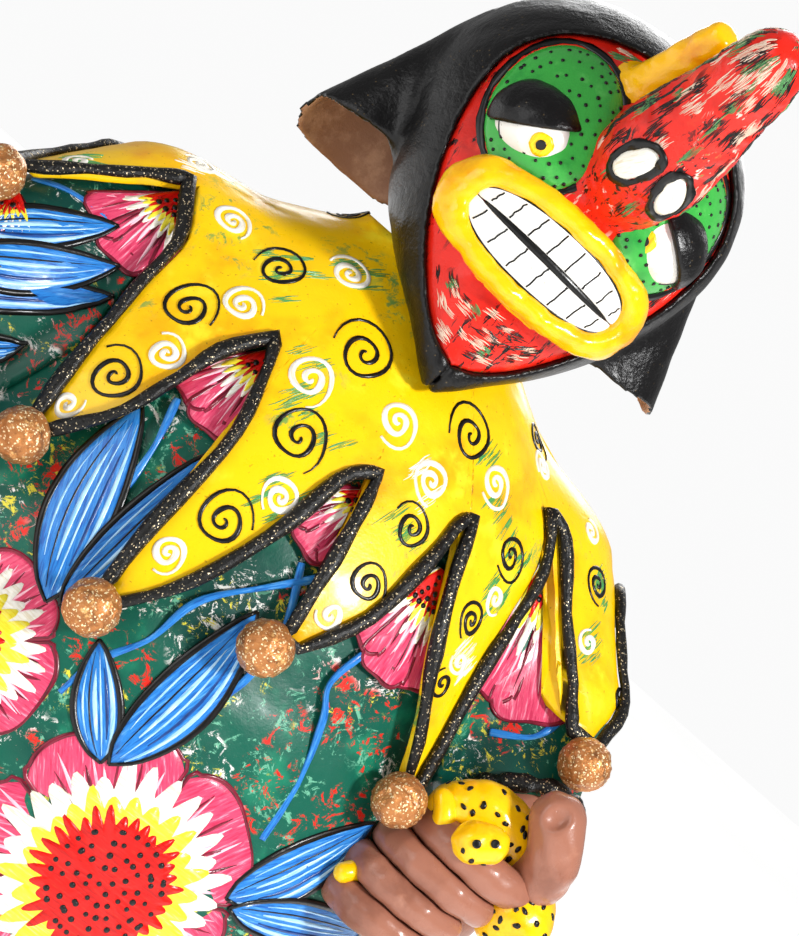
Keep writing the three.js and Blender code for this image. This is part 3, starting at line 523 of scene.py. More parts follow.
class Finish:
    """A node material that is built up layer by layer."""

    def __init__(self, name, base, roughness, coat=0.0, metallic=0.0, specular=0.26):
        self.material = bpy.data.materials.new(name)
        self.material.use_nodes = True
        self.tree = self.material.node_tree
        self.shader = self.tree.nodes["Principled BSDF"]
        self.shader.inputs["Roughness"].default_value = roughness
        self.shader.inputs["Metallic"].default_value = metallic
        self.shader.inputs["Coat Weight"].default_value = coat
        self.shader.inputs["Coat Roughness"].default_value = 0.12
        self.shader.inputs["Specular IOR Level"].default_value = specular
        self.shader.inputs["Base Color"].default_value = linear(base)
        self.roughness = roughness
        self.place = self.node("ShaderNodeTexCoord").outputs["Object"]
        self.colour = linear(base)
        self.height = None

    def node(self, kind, **settings):
        made = self.tree.nodes.new(kind)
        for key, value in settings.items():
            setattr(made, key, value)
        return made

    def link(self, value, socket):
        if isinstance(value, bpy.types.NodeSocket):
            self.tree.links.new(value, socket)
        else:
            socket.default_value = value

    def stretched(self, scale, turn=(0.0, 0.0, 0.0), vector=None):
        made = self.node("ShaderNodeMapping")
        self.link(self.place if vector is None else vector, made.inputs["Vector"])
        made.inputs["Rotation"].default_value = turn
        made.inputs["Scale"].default_value = scale
        return made.outputs[0]

    def noise(self, scale, detail=4.0, rough=0.55, twist=0.0, vector=None):
        made = self.node("ShaderNodeTexNoise")
        self.link(self.place if vector is None else vector, made.inputs["Vector"])
        made.inputs["Scale"].default_value = scale
        made.inputs["Detail"].default_value = detail
        made.inputs["Roughness"].default_value = rough
        made.inputs["Distortion"].default_value = twist
        return made.outputs["Fac"]

    def cells(self, scale, output="Distance"):
        made = self.node("ShaderNodeTexVoronoi")
        self.link(self.place, made.inputs["Vector"])
        made.inputs["Scale"].default_value = scale
        return made.outputs[output]

    def band(self, value, low, high):
        """0 below low, 1 above high; the other way round when low is the greater."""
        made = self.node("ShaderNodeMapRange", interpolation_type="SMOOTHSTEP")
        self.link(value, made.inputs["Value"])
        turned = low > high
        made.inputs["From Min"].default_value = min(low, high)
        made.inputs["From Max"].default_value = max(low, high)
        made.inputs["To Min"].default_value = 1.0 if turned else 0.0
        made.inputs["To Max"].default_value = 0.0 if turned else 1.0
        return made.outputs["Result"]

    def brush(self):
        return self.node("ShaderNodeAttribute", attribute_name="brush").outputs["Vector"]

    def split(self, vector):
        made = self.node("ShaderNodeSeparateXYZ")
        self.link(vector, made.inputs[0])
        return made.outputs

    def over(self, tint, mask):
        """Lay a colour over what is there, as far as the mask says."""
        made = self.node("ShaderNodeMix", data_type="RGBA")
        self.link(mask, made.inputs["Factor"])
        self.link(self.colour, made.inputs["A"])
        self.link(linear(tint), made.inputs["B"])
        self.colour = made.outputs["Result"]
        self.link(self.colour, self.shader.inputs["Base Color"])
        return self

    def mottle(self, tint, scale, low, high, detail=4, rough=0.55):
        """Clouds of a colour: noise of this scale and detail, from the low to the high cut."""
        return self.over(tint, self.band(self.noise(scale, detail, rough), low, high))

    def bump(self, value, strength, distance):
        made = self.node("ShaderNodeBump")
        made.inputs["Strength"].default_value = strength
        made.inputs["Distance"].default_value = distance
        self.link(value, made.inputs["Height"])
        if self.height is not None:
            self.link(self.height, made.inputs["Normal"])
        self.height = made.outputs["Normal"]
        self.link(self.height, self.shader.inputs["Normal"])
        return self

    def rough(self, value, low, high):
        made = self.node("ShaderNodeMapRange")
        self.link(value, made.inputs["Value"])
        made.inputs["To Min"].default_value = low
        made.inputs["To Max"].default_value = high
        self.link(made.outputs["Result"], self.shader.inputs["Roughness"])
        return self

    def both(self, first, second):
        """Product of two masks."""
        made = self.node("ShaderNodeMath", operation="MULTIPLY")
        self.link(first, made.inputs[0])
        self.link(second, made.inputs[1])
        return made.outputs[0]


def handmade(finish, fine=0.25):
    """Brush marks, paper pulp and uneven gloss that every painted surface shares."""
    broad = finish.noise(60, 5, 0.6)
    hairs = finish.noise(1, 3, 0.6, 0.4, finish.stretched((900, 220, 900), (0.3, 0.5, 0.2)))
    grit = finish.noise(900, 3, 0.6)
    finish.bump(broad, 0.35, 0.0012)
    finish.bump(hairs, fine, 0.0003)
    finish.bump(grit, fine * 0.5, 0.0002)
    finish.rough(broad, finish.roughness - 0.12, finish.roughness + 0.14)
    return finish


def robe_finish():
    made = Finish("robe_green_paint", (6, 88, 70), 0.38, 0.07)
    made.mottle((3, 62, 54), 16, 0.42, 0.66)
    made.mottle((24, 128, 96), 38, 0.56, 0.72)
    dabs = made.stretched((1, 0.5, 1.2), (0.5, 0.4, 0.7))
    for tint, group, scale, cluster, fleck in (
        ((100, 170, 140), 24, 130, 0.48, 0.565), ((228, 228, 222), 32, 150, 0.5, 0.555),
        ((216, 34, 20), 36, 150, 0.52, 0.545), ((220, 208, 60), 43, 190, 0.52, 0.565),
    ):
        where = made.band(made.noise(group, 2, 0.5), cluster, cluster + 0.05)
        splash = made.noise(scale, 7, 0.78, 0.9, dabs)
        made.over(tint, made.both(where, made.band(splash, fleck, fleck + 0.03)))
    return handmade(made).material


def cape_finish():
    made = Finish("cape_yellow_paint", (252, 201, 6), 0.3, 0.175)
    made.mottle((238, 158, 4), 22, 0.47, 0.7, 4, 0.6)
    made.mottle((255, 222, 40), 48, 0.55, 0.72, 4, 0.6)
    smear = made.stretched((1, 1, 0.45), (0.4, 0.3, 0.2))
    where = made.band(made.noise(17, 2, 0.5), 0.55, 0.64)
    dry = made.band(made.noise(120, 6, 0.75, 0.5, smear), 0.52, 0.62)
    made.over((64, 150, 78), made.both(made.both(where, dry), 0.85))
    made.over((120, 84, 20), made.both(made.band(made.noise(700, 2), 0.68, 0.72), 0.5))
    return handmade(made).material


def black_finish():
    made = Finish("hood_black_paint", (7, 6, 7), 0.3, 0.06, specular=0.28)
    made.mottle((26, 24, 24), 90, 0.6, 0.78, 6, 0.7)
    dust = made.both(made.band(made.cells(420), 0.16, 0.1), made.band(made.noise(60), 0.52, 0.6))
    made.over((110, 92, 62), made.both(dust, 0.6))
    made.bump(made.noise(130, 5, 0.65), 0.5, 0.0018)
    return handmade(made, 0.5).material


def ear_inside_finish():
    made = Finish("ear_inside_brown", (150, 108, 84), 0.6)
    made.mottle((182, 140, 112), 55, 0.45, 0.65, 5, 0.65)
    made.mottle((96, 66, 52), 24, 0.58, 0.75, 4, 0.6)
    return handmade(made, 0.5).material


def dry_brushed(name, base, turn, stretch=(1, 1, 0.16)):
    """Red paint with streaks of black, white and green dragged along it."""
    made = Finish(name, base, 0.28, 0.11)
    made.mottle((176, 22, 14), 30, 0.5, 0.72, 4, 0.6)
    made.mottle((238, 66, 40), 48, 0.58, 0.75, 4, 0.6)
    drag = made.stretched(stretch, turn)
    for tint, group, cluster, scale, fleck in (
        ((222, 214, 200), 34, 0.56, 330, 0.585),
        ((70, 132, 66), 29, 0.57, 300, 0.60),
        ((16, 13, 13), 24, 0.50, 360, 0.565),
    ):
        where = made.band(made.noise(group, 2, 0.5), cluster, cluster + 0.07)
        hairs = made.band(made.noise(scale, 4, 0.7, 0.4, drag), fleck, fleck + 0.04)
        made.over(tint, made.both(where, hairs))
    return handmade(made, 0.35).material


def gloss_finish(name, base, dark, light):
    """Thick glossy paint with runs."""
    made = Finish(name, base, 0.2, 0.35)
    made.mottle(dark, 45, 0.5, 0.74, 4, 0.6)
    made.mottle(light, 80, 0.56, 0.75, 4, 0.6)
    return handmade(made, 0.3).material


def white_finish():
    made = Finish("white_paint", (242, 240, 234), 0.24, 0.25)
    made.mottle((214, 208, 196), 90, 0.56, 0.75, 5, 0.7)
    made.over((150, 140, 124), made.both(made.band(made.noise(330, 4, 0.7), 0.66, 0.7), 0.6))
    return handmade(made, 0.2).material


def glitter_finish():
    made = Finish("black_glitter_varnish", (9, 8, 7), 0.36, 0.025, specular=0.35)
    shade = made.split(made.cells(2300, output="Color"))[0]
    spark = made.band(shade, 0.94, 0.97)
    made.over((214, 196, 160), spark)
    made.link(made.both(spark, 0.85), made.shader.inputs["Metallic"])
    made.bump(made.noise(150, 5, 0.7), 0.8, 0.0015)
    made.bump(shade, 0.6, 0.0004)
    return made.material


def bronze_finish():
    made = Finish("bronze_paint", (184, 120, 66), 0.34, 0.15, 0.5)
    made.mottle((128, 80, 44), 120, 0.52, 0.68, 5, 0.7)
    made.mottle((236, 184, 116), 260, 0.55, 0.66, 5, 0.75)
    # Near-white specks painted into the colour: painted glints, highlights of light on the crumpled
    # foil.
    glints = made.split(made.cells(1700, output="Color"))[1]
    made.over((255, 236, 190), made.band(glints, 0.86, 0.93))
    made.bump(made.noise(170, 6, 0.7), 0.7, 0.0016)
    made.bump(made.noise(900, 3, 0.6), 0.4, 0.0004)
    return made.material


def skin_finish():
    made = Finish("brown_gloss_paint", (158, 104, 84), 0.28, 0.225)
    made.mottle((134, 84, 66), 42, 0.5, 0.72, 4, 0.6)
    made.mottle((176, 122, 100), 70, 0.56, 0.76, 4, 0.6)
    return handmade(made, 0.3).material


def wood_finish():
    made = Finish("softwood", (164, 124, 78), 0.62)
    grain = made.noise(1, 5, 0.6, 1.2, made.stretched((14, 240, 240), (0, 0, 0.1)))
    made.over((118, 82, 46), made.band(grain, 0.48, 0.66))
    made.mottle((190, 152, 104), 20, 0.5, 0.75, 3)
    made.bump(grain, 0.4, 0.0006)
    made.rough(grain, 0.5, 0.75)
    return made.material


def stroke_finish(name, base, dark, light):
    """Brushed paint whose streaks follow the stroke that it was laid with."""
    made = Finish(name, base, 0.3, 0.175)
    along = made.stretched((0.5, 5.0, 1), vector=made.brush())
    hairs = made.noise(0.22, 4, 0.6, 0.3, along)
    made.over(dark, made.both(made.band(hairs, 0.5, 0.36), 0.8))
    made.over(light, made.both(made.band(hairs, 0.54, 0.7), 0.75))
    made.bump(hairs, 0.25, 0.0004)
    made.bump(made.noise(260, 4, 0.6), 0.3, 0.0006)
    return made.material


# ------------------------------------------------------------------ brush work


class Paint:
    """Closed, slightly raised brush work of one paint on one surface, built as one piece."""

    def __init__(self, name, material, slot, distance, offset=0.0):
        self.name = name
        self.material = material
        self.slot = slot
        self.distance = distance
        self.offset = offset
        self.points = []
        self.heights = []
        self.brush = []
        self.faces = []
        self.count = 0

    def add(self, points, heights, brush, faces):
        self.points.append(points)
        self.heights.append(heights)
        self.brush.append(brush)
        self.faces.extend((np.asarray(face) + self.count).tolist() for face in faces)
        self.count += len(points)

    def line(self, path, half_width, lift=0.45, closed=False):
        """Stroke along a path of points that lie near the surface."""
        path = snap(self.distance, np.asarray(path, float), self.offset)
        count = len(path)
        if closed:
            tangent = np.roll(path, -1, 0) - np.roll(path, 1, 0)
        else:
            tangent = np.gradient(path, axis=0)
        side = unit(np.cross(normals_at(self.distance, path), unit(tangent)))
        wide = np.broadcast_to(half_width, (count,))
        run = np.concatenate([[0], np.cumsum(np.linalg.norm(np.diff(path, axis=0), axis=1))])
        seed = RNG.uniform(0, 200)
        across = np.array([-1, -0.78, 0.78, 1])
        up = np.array([-0.35, lift, lift, -0.35])
        points = path[:, None] + side[:, None] * (wide[:, None] * across)[..., None]
        heights = np.broadcast_to(up, (count, 4))
        brush = np.stack([np.broadcast_to(run[:, None], (count, 4)),
                          wide[:, None] * across, np.full((count, 4), seed)], -1)
        faces = grid_faces(count, 4, closed_rows=closed, closed_columns=True).tolist()
        if not closed:
            last = (count - 1) * 4
            faces += [[3, 2, 1, 0], [last, last + 1, last + 2, last + 3]]
        self.add(points.reshape(-1, 3), heights.ravel(), brush.reshape(-1, 3), faces)

    def patch(self, outline, centre, lift=0.45, rings=3, grain=(0.0, 1.0), crown=0.0):
        """Filled shape seen whole from its centre. Grain is the brush direction in its plane."""
        outline = np.asarray(outline, float)
        centre = np.asarray(centre, float)
        count = len(outline)
        scale = np.linspace(1, 0, rings + 1)[:-1] ** 0.8
        rows = [outline]
        ups = [np.full(count, -0.35)]
        for k, part in enumerate(scale):
            rows.append(centre + (outline - centre) * part * (0.97 if k == 0 else 1))
            ups.append(np.full(count, lift + crown * (1 - part**2)))
        points = np.concatenate(rows + [centre[None], centre[None]])
        heights = np.concatenate(ups + [[lift + crown], [-0.8]])
        top = len(points) - 2
        bottom = len(points) - 1
        faces = grid_faces(rings + 1, count, closed_columns=True).tolist()
        for k in range(count):
            after = (k + 1) % count
            faces.append([rings * count + k, rings * count + after, top])
            faces.append([after, k, bottom])
        seed = RNG.uniform(0, 200)
        first = unit(outline[0] - centre)
        normal = unit(np.cross(outline[0] - centre, outline[count // 4] - centre))
        second = np.cross(normal, first)
        flat = points - centre
        a = flat @ first
        b = flat @ second
        along = a * grain[0] + b * grain[1]
        across = a * grain[1] - b * grain[0]
        brush = np.stack([along, across, np.full(len(points), seed)], 1)
        self.add(points, heights, brush, faces)

    def build(self):
        points = snap(self.distance, np.concatenate(self.points), self.offset)
        normal = normals_at(self.distance, points)
        points = points + normal * np.concatenate(self.heights)[:, None]
        made = make_object(self.name, points, self.faces, self.material,
                           np.concatenate(self.brush))
        return dress(made, self.slot)


class Patchwork:
    """A flat drawing board held against a surface: millimetres right and up."""

    def __init__(self, distance, at, heading=0.0):
        at = snap(distance, np.asarray([at], float))
        self.at = at[0]
        normal = normals_at(distance, at)[0]
        right = unit(np.cross([0.0, 0.0, 1.0], normal))
        up = np.cross(normal, right)
        turn = math.radians(heading)
        self.right = right * math.cos(turn) + up * math.sin(turn)
        self.up = up * math.cos(turn) - right * math.sin(turn)

    def place(self, drawing):
        drawing = np.asarray(drawing, float)
        return self.at + drawing[..., :1] * self.right + drawing[..., 1:] * self.up


def ring_of(radius, count, shake=0.0):
    turn = full_turn(count)
    size = radius * (1 + shake * RNG.uniform(-1, 1, count))
    return np.stack([size * np.cos(turn), size * np.sin(turn)], 1)


def spiral(paint, board, diameter, width, turns, turn_from, hand):
    steps = int(18 * turns) + 6
    t = np.linspace(0.04, 1, steps)
    angle = turn_from + hand * 2 * math.pi * turns * t**0.85
    wobble = 0.07 * np.sin(angle * 1.3 + turn_from) + 0.04 * np.sin(angle * 3.1 - turn_from)
    radius = diameter / 2 * t * (1 + wobble)
    squash = RNG.uniform(0.84, 1)
    line = np.stack([radius * np.cos(angle) * squash, radius * np.sin(angle)], 1)
    wide = width * (0.4 + 0.7 * np.sin(math.pi * np.clip(t * 1.02, 0, 1)) ** 0.6)
    wide = wide * (1 + 0.22 * np.sin(angle * 2.1 + turn_from))
    paint.line(board.place(line), wide)


def leaf_half_width(t, width):
    return width * np.sin(math.pi * t**0.85) ** 0.8


def leaf_outline(length, width, lean):
    """Pointed leaf from its base at 0, 0 up the board."""
    t = np.linspace(0, 1, 14)
    half = leaf_half_width(t, width)
    shift = lean * np.sin(math.pi * t)
    right = np.stack([half + shift, t * length], 1)
    left = np.stack([shift - half, t * length], 1)[::-1]
    return np.concatenate([right[:-1], left[:-1]])


# ------------------------------------------------------------------ base, robe and cape


def build_base(wood, black):
    around = 240
    turn = full_turn(around)
    wobble = 0.5 * np.sin(turn * 5) + 0.3 * np.sin(turn * 11 + 1)
    rows = []
    for inset, height in BASE_EDGE:
        wide = BASE_HALF_WIDTH - inset + wobble
        deep = BASE_HALF_DEPTH - inset + wobble
        rows.append(np.stack([wide * np.cos(turn), deep * np.sin(turn), 0 * turn + height], 1))
    points = np.concatenate(rows + [[[0, 0, 0], [0, 0, 12]]])
    faces = grid_faces(len(rows), around, closed_columns=True)
    faces = facing_out(points, faces).tolist()
    bottom = len(rows) * around
    top_row = bottom - around
    for k in range(around):
        after = (k + 1) % around
        faces.append([after, k, bottom])
        faces.append([top_row + k, top_row + after, bottom + 1])
    dress(make_object("base_plinth", points, faces, wood), "wood", "base_board")
    for name, material in (("spine_post", wood), ("shoulder_bar", wood), ("neck", black)):
        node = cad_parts[name]
        node.data.materials.clear()
        node.data.materials.append(material)


def build_robe(material):
    angles = np.arange(360.0)
    heights = np.concatenate([
        np.linspace(ROBE_HEM, 240, 84), np.linspace(242.5, ROBE_COLLAR, 76)])
    a, h = np.meshgrid(angles, heights)
    outer = body_points(robe_distance, a, h).reshape(len(heights), -1, 3)
    inside = [ROBE_COLLAR, 380, 340, 240, 120, ROBE_HEM]
    a, h = np.meshgrid(angles, inside)
    inner = body_points(torso_distance, a, h, -ROBE_WALL).reshape(len(inside), -1, 3)
    made = loft("robe_painted_shell", np.concatenate([outer, inner]), material)
    dress(made, "robe_green", "robe_shell")


def hand_shift(side):
    """How far the free hand hangs from where the mirrored other one would be."""
    return np.array((0, 0, 0) if side > 0 else FREE_HAND_SHIFT)


def build_sleeve(side, material, glitter):
    wrist = np.array(WRIST[0], float) + hand_shift(side)
    axis = unit(wrist - np.array(ELBOW[0], float))

    def distance(x, y, z):
        x = x * side
        fore = taper_distance(x, y, z, ELBOW, (tuple(wrist), WRIST[1]))
        upper = taper_distance(x, y, z, SHOULDER, ELBOW)
        body = smooth_min(torso_distance(x, y, z), np.minimum(fore, upper), ARM_BLEND)
        body = body - unevenness(x * side, y, z) + 0.25
        end = (x - wrist[0]) * axis[0] + (y - wrist[1]) * axis[1] + (z - wrist[2]) * axis[2]
        return smooth_max(np.maximum(body, fore - 18), end, 2)

    low, high = (96, -92, 252), (174, 6, 350)
    if side < 0:
        low, high = (-182, -92, 240), (-96, 6, 350)
    clad(f"sleeve_{side_name(side)}", "robe_green", distance, low, high, 1.5, material)
    build_cuff(side, wrist, axis, glitter)


def build_cuff(side, wrist, axis, glitter):
    turn = full_turn(90)
    first = unit(np.cross(axis, [0.0, 0.0, 1.0]))
    second = np.cross(axis, first)
    rings = []
    for angle in turn:
        out = first * math.cos(angle) + second * math.sin(angle)
        centre = wrist - axis * 3 + out * (WRIST[1] + 1.6 + 0.5 * math.sin(angle * 5 + side))
        across = full_turn(12)
        thick = 2.6 + 0.4 * math.sin(angle * 9) + 0.3 * math.sin(angle * 17 + 1)
        ring = (centre + out * (np.cos(across) * thick)[:, None]
                + axis * (np.sin(across) * thick * 1.35)[:, None])
        rings.append(ring * [side, 1, 1])
    name = side_name(side)
    made = loft(f"cuff_{name}_glitter", np.array(rings), glitter)
    dress(made, "black_glitter", f"cuff_band_{name}")


def cape_edge(steps):
    """Edge of the cape as angle and height, each side of a tooth in this many steps."""
    edge = []
    blunt = math.degrees(TOOTH_TIP_HALF_WIDTH / 130)
    for k, (tip_angle, tip_height, notch_angle, notch_height, _) in enumerate(CAPE_TEETH):
        before = CAPE_TEETH[k - 1]
        start_angle = before[2] - 360 if k == 0 else before[2]
        down = [(start_angle, before[3])]
        up = [(notch_angle, notch_height)]
        for around, drop in HAND_CUT_SIDES.get((k, "before"), TOOTH_SIDE):
            down.append((start_angle + (tip_angle - blunt - start_angle) * around,
                         before[3] + (tip_height - before[3]) * drop))
        for around, drop in HAND_CUT_SIDES.get((k, "after"), TOOTH_SIDE):
            up.append((notch_angle + (tip_angle + blunt - notch_angle) * around,
                       notch_height + (tip_height - notch_height) * drop))
        down.append((tip_angle - blunt, tip_height))
        up.append((tip_angle + blunt, tip_height))
        edge.append(smooth_path(down, steps))
        edge.append(smooth_path(up, steps)[::-1][:-1])
    return np.concatenate(edge)


def build_cape(material):
    edge = cape_edge(18)
    rows = [(t, CAPE_OUTSIDE) for t in np.linspace(0, 0.985, 34)]
    rows += [(1, CAPE_OUTSIDE - 0.5), (1, CAPE_INSIDE + 0.5)]
    rows += [(t, CAPE_INSIDE) for t in (0.985, 0.7, 0.4, 0.2, 0)]
    even = edge[0, 0] + np.arange(len(edge)) * 360 / len(edge)
    rings = []
    for t, offset in rows:
        angle = even + (edge[:, 0] - even) * t**0.8
        height = CAPE_COLLAR + (edge[:, 1] - CAPE_COLLAR) * t
        rings.append(body_points(whole_body_distance, angle, height, offset))
    dress(loft("cape_painted_shell", np.array(rings), material), "cape_yellow", "cape_shell")


def build_cord(glitter):
    edge = cape_edge(16)
    path = body_points(whole_body_distance, edge[:, 0], edge[:, 1], CAPE_OUTSIDE + 1.6)
    tangent = unit(np.roll(path, -1, 0) - np.roll(path, 1, 0))
    away = normals_at(whole_body_distance, path)
    beside = unit(np.cross(tangent, away))
    turn = full_turn(10)
    run = np.cumsum(np.linalg.norm(tangent, axis=1) * 4)
    thick = CORD_RADIUS * (1 + 0.16 * np.sin(run / 9) + 0.12 * np.sin(run / 3.1 + 1))
    rings = (path[:, None]
             + beside[:, None] * (thick[:, None] * np.cos(turn) * 1.2)[..., None]
             + away[:, None] * (thick[:, None] * np.sin(turn))[..., None])
    dress(loft("cape_edge_glitter", rings, glitter), "black_glitter", "cape_edge_cord")


def build_balls(material):
    for k, (_, height, _, _, angle) in enumerate(CAPE_TEETH):
        at = body_points(whole_body_distance, [angle], [height - BALL_BEYOND],
                         BALL_RADIUS + 0.8)[0]
        mesh = bmesh.new()
        bmesh.ops.create_icosphere(mesh, subdivisions=5, radius=1.0)
        points = np.array([tuple(vertex.co) for vertex in mesh.verts])
        faces = [[vertex.index for vertex in face.verts] for face in mesh.faces]
        mesh.free()
        x, y, z = (points * BALL_RADIUS).T
        folds = np.abs(lumps(x, y, z, 9, 11 + k)) + 0.5 * np.abs(lumps(x, y, z, 4.5, 31 + k))
        size = BALL_RADIUS + 0.35 - 1.0 * folds
        made = make_object(f"bronze_ball_{k + 1:02d}", at + points * size[:, None], faces,
                           material)
        dress(made, "bronze_paint", f"cape_ball_{k + 1:02d}")


# ------------------------------------------------------------------ head


def build_hood(material):
    def distance(x, y, z):
        wall = smooth_max(head_distance(x, y, z), -head_distance(x, y, z, -HOOD_WALL), 2)
        wall = smooth_max(wall, -window_distance(x, y, z), 3)
        neck = np.maximum(np.hypot(x, y) - 25.6, z - 447)
        return np.maximum(np.maximum(wall, -room_for_cape(x, y, z)), -neck)

    clad("hood_shell", "hood_black", distance, (-64, -92, 370), (74, 60, 536), 1.3, material,
         "hood_painted_shell")


def ear_places(x, y, z, tilt):
    """Place down the ear, 0 at its top and 1 at its mouth, and distance from its axis."""
    tall = EAR_TOP[2] - EAR_MOUTH[2]
    down = np.clip((EAR_TOP[2] - z) / tall, 0, 1)
    for _ in range(2):
        depth = EAR_TOP[1] + (EAR_MOUTH[1] - EAR_TOP[1]) * down
        down = (EAR_TOP[2] - z - (y - depth) * np.tan(tilt * down)) / tall
        down = np.clip(down, -0.3, 1.4)
    wide = x - EAR_TOP[0] - (EAR_MOUTH[0] - EAR_TOP[0]) * down
    deep = (y - depth) / EAR_FLATNESS
    return down, np.hypot(wide, deep)


def build_ear(side, outside, inside):
    name = side_name(side)

    def distance(x, y, z):
        down, away = ear_places(-side * (x - HEAD_X), y, z, EAR_TILT[side])
        outer = (away - table_at(EAR_OUTSIDE, down)) * 0.8
        wavy = 1 + 0.03 * np.sin(y / 5 + side)
        ends = np.maximum(down - wavy, -down) * 60
        hollow = np.maximum(away - table_at(EAR_OUTSIDE, down) + EAR_WALL, 0.1 - down)
        skin = smooth_min(np.maximum(outer, ends), head_distance(x, y, z) + 0.25, 9)
        skin = np.maximum(skin, np.maximum(outer - 11, ends - 8))
        skin = smooth_max(skin, -hollow, 1)
        skin = skin - 0.3 * lumps(x, y, z, 17, 6)
        return np.maximum(skin, -head_distance(x, y, z, -2))

    low, high = (-96, -30, 410), (-20, 32, 508)
    if side > 0:
        low, high = (30, -30, 410), (106, 32, 508)
    made = solid(f"ear_{name}_painted", distance, low, high, 1.1, outside)
    paint_ear_inside(made, side, inside)
    dress(made, "hood_black", f"ear_{name}")


def paint_ear_inside(made, side, inside):
    """Give the faces within the ear's cup their own paint."""
    made.data.materials.append(inside)
    points = np.empty(len(made.data.vertices) * 3)
    made.data.vertices.foreach_get("co", points)
    points = points.reshape(-1, 3) / MM
    middle = np.array([points[list(face.vertices)].mean(axis=0) for face in made.data.polygons])
    normal = np.array([tuple(face.normal) for face in made.data.polygons])
    down, away = ear_places(
        -side * (middle[:, 0] - HEAD_X), middle[:, 1], middle[:, 2], EAR_TILT[side])
    centre = EAR_TOP[0] + (EAR_MOUTH[0] - EAR_TOP[0]) * down
    wide = -side * (middle[:, 0] - HEAD_X) - centre
    inward = (wide * -side * normal[:, 0] + middle[:, 1] * normal[:, 1]) < 0
    deep_in = away < table_at(EAR_OUTSIDE, down) - EAR_WALL * 0.4
    made.data.polygons.foreach_set("material_index", (inward & deep_in).astype(int))


def build_mask(material, nose_material):
    def mask(x, y, z):
        wall = np.maximum(mask_front(x, y, z), -head_distance(x, y, z, -MASK_BACK))
        wall = np.maximum(wall, window_distance(x, y, z, 0.2))
        return np.maximum(wall, -room_for_cape(x, y, z))

    def nose(x, y, z):
        snout = nose_distance(x, y, z)
        base = mask_front(x, y, z) + 0.25
        return np.maximum(smooth_min(snout, base, 7), snout - 9)

    clad("face_mask", "mask_red", mask, (-56, -92, 378), (66, -28, 520), 1.2, material,
         "mask_painted_face")
    clad("nose", "mask_red", nose, (-28, -146, 440), (38, -40, 560), 1.0, nose_material)


def build_horn(material):
    def distance(x, y, z):
        horn = turned_distance(x, y, z, HORN_PROFILE, HORN_ROOT, HORN_END)
        horn = horn - 0.5 * lumps(x, y, z, 9, 3)
        base = mask_front(x, y, z) + 0.3
        return np.maximum(smooth_min(horn, base, 5), horn - 5)

    clad("horn", "gloss_yellow", distance, (-26, -104, 480), (16, -38, 552), 0.9, material)


def build_eyes(green, white, lid_material):
    for side in (1, -1):
        name = side_name(side)

        def socket(x, y, z):
            depth = -head_distance(x, y, z, -MASK_RECESS - 3)
            return np.maximum(socket_distance(x, y, z, side), depth)

        def ball(x, y, z):
            return np.maximum(eyeball_distance(x, y, z, side) - 0.15 * lumps(x, y, z, 8, 2), y + 50)

        def lid(x, y, z):
            return np.maximum(lid_distance(x, y, z, side), y + 50)

        x = HEAD_X + side * EYE_SPREAD
        low, high = (x - 32, -90, 436), (x + 32, -36, 508)
        for node, slot, piece, distance, voxel, material in (
            ("eye_socket", "socket_green", "socket", socket, 1.1, green),
            ("eyeball", "white_gloss", "eye", ball, 0.9, white),
            ("eyelid", "hood_black", "lid", lid, 0.9, lid_material),
        ):
            clad(f"{node}_{name}", slot, distance, low, high, voxel, material,
                 f"{piece}_{name}_painted")


def mouth_gap(x, z, half_length, half_height):
    """Distance from a squarish oval round the middle of the mouth, in the mouth's plane."""
    power = 2.38
    across = np.abs((x - HEAD_X) / half_length)
    up = np.abs((z - MOUTH_HEIGHT) / half_height)
    reach = np.maximum(across**power + up**power, 1e-4) ** (1 / power)
    steep = np.hypot(across ** (power - 1) / half_length, up ** (power - 1) / half_height)
    return (reach - 1) / np.maximum(steep * reach ** (1 - power), 0.012)


def mouth_line(across):
    """Height of the slanted bite line this far to the side of the head's middle."""
    return MOUTH_HEIGHT - MOUTH_SLANT * across


def mouth_depth(x, y):
    return y - MOUTH_DEPTH - (x - HEAD_X) ** 2 / MOUTH_BEND


def teeth_distance(x, y, z):
    flat = mouth_gap(x, z, 36.5, 13)
    bulge = 1.5 * np.clip(-flat / 12, 0, 1)
    return smooth_max(flat, -mouth_depth(x, y) - 3 - bulge, 1.5)


def build_mouth(yellow, white):
    def lips(x, y, z):
        ring = mouth_gap(x, z, MOUTH_HALF_LENGTH, MOUTH_HALF_HEIGHT)
        radius = LIP_RADIUS + 1.7 * smoothstep(np.abs(x - HEAD_X), 24, 40)
        bead = np.hypot(ring / radius, mouth_depth(x, y) / (radius + 1.2)) - 1
        bead = bead * radius - 0.6 * lumps(x, y, z, 16, 7) - 0.3 * lumps(x, y, z, 6, 8)
        base = mask_front(x, y, z) + 0.3
        return np.maximum(smooth_min(bead, base, 2.5), bead - 2)

    clad("lips", "gloss_yellow", lips, (-50, -98, 404), (60, -52, 462), 1.0, yellow)
    for name, up in (("upper", 1), ("lower", -1)):

        def teeth(x, y, z):
            taper = 1.35 * np.sqrt(np.clip(1 - ((x - HEAD_X) / 31) ** 2, 0, 1)) + 0.15
            half = taper - up * (z - mouth_line(x - HEAD_X))
            front = smooth_max(teeth_distance(x, y, z), half, 0.8)
            return np.maximum(front, mouth_depth(x, y) - 5)

        clad(f"teeth_{name}", "white_gloss", teeth, (-40, -94, 414), (50, -58, 452), 0.9, white)


# ------------------------------------------------------------------ hands and leopard


def finger_path(k):
    path = []
    for i, (x, y) in enumerate(FINGER_PATH):
        reach = i / (len(FINGER_PATH) - 1)
        path.append((x + FINGER_SET[k] - reach * FINGER_SHORT[k], y,
                     FINGER_TOP - k * FINGER_PITCH + (reach - 0.5) * FINGER_RISE))
    return path


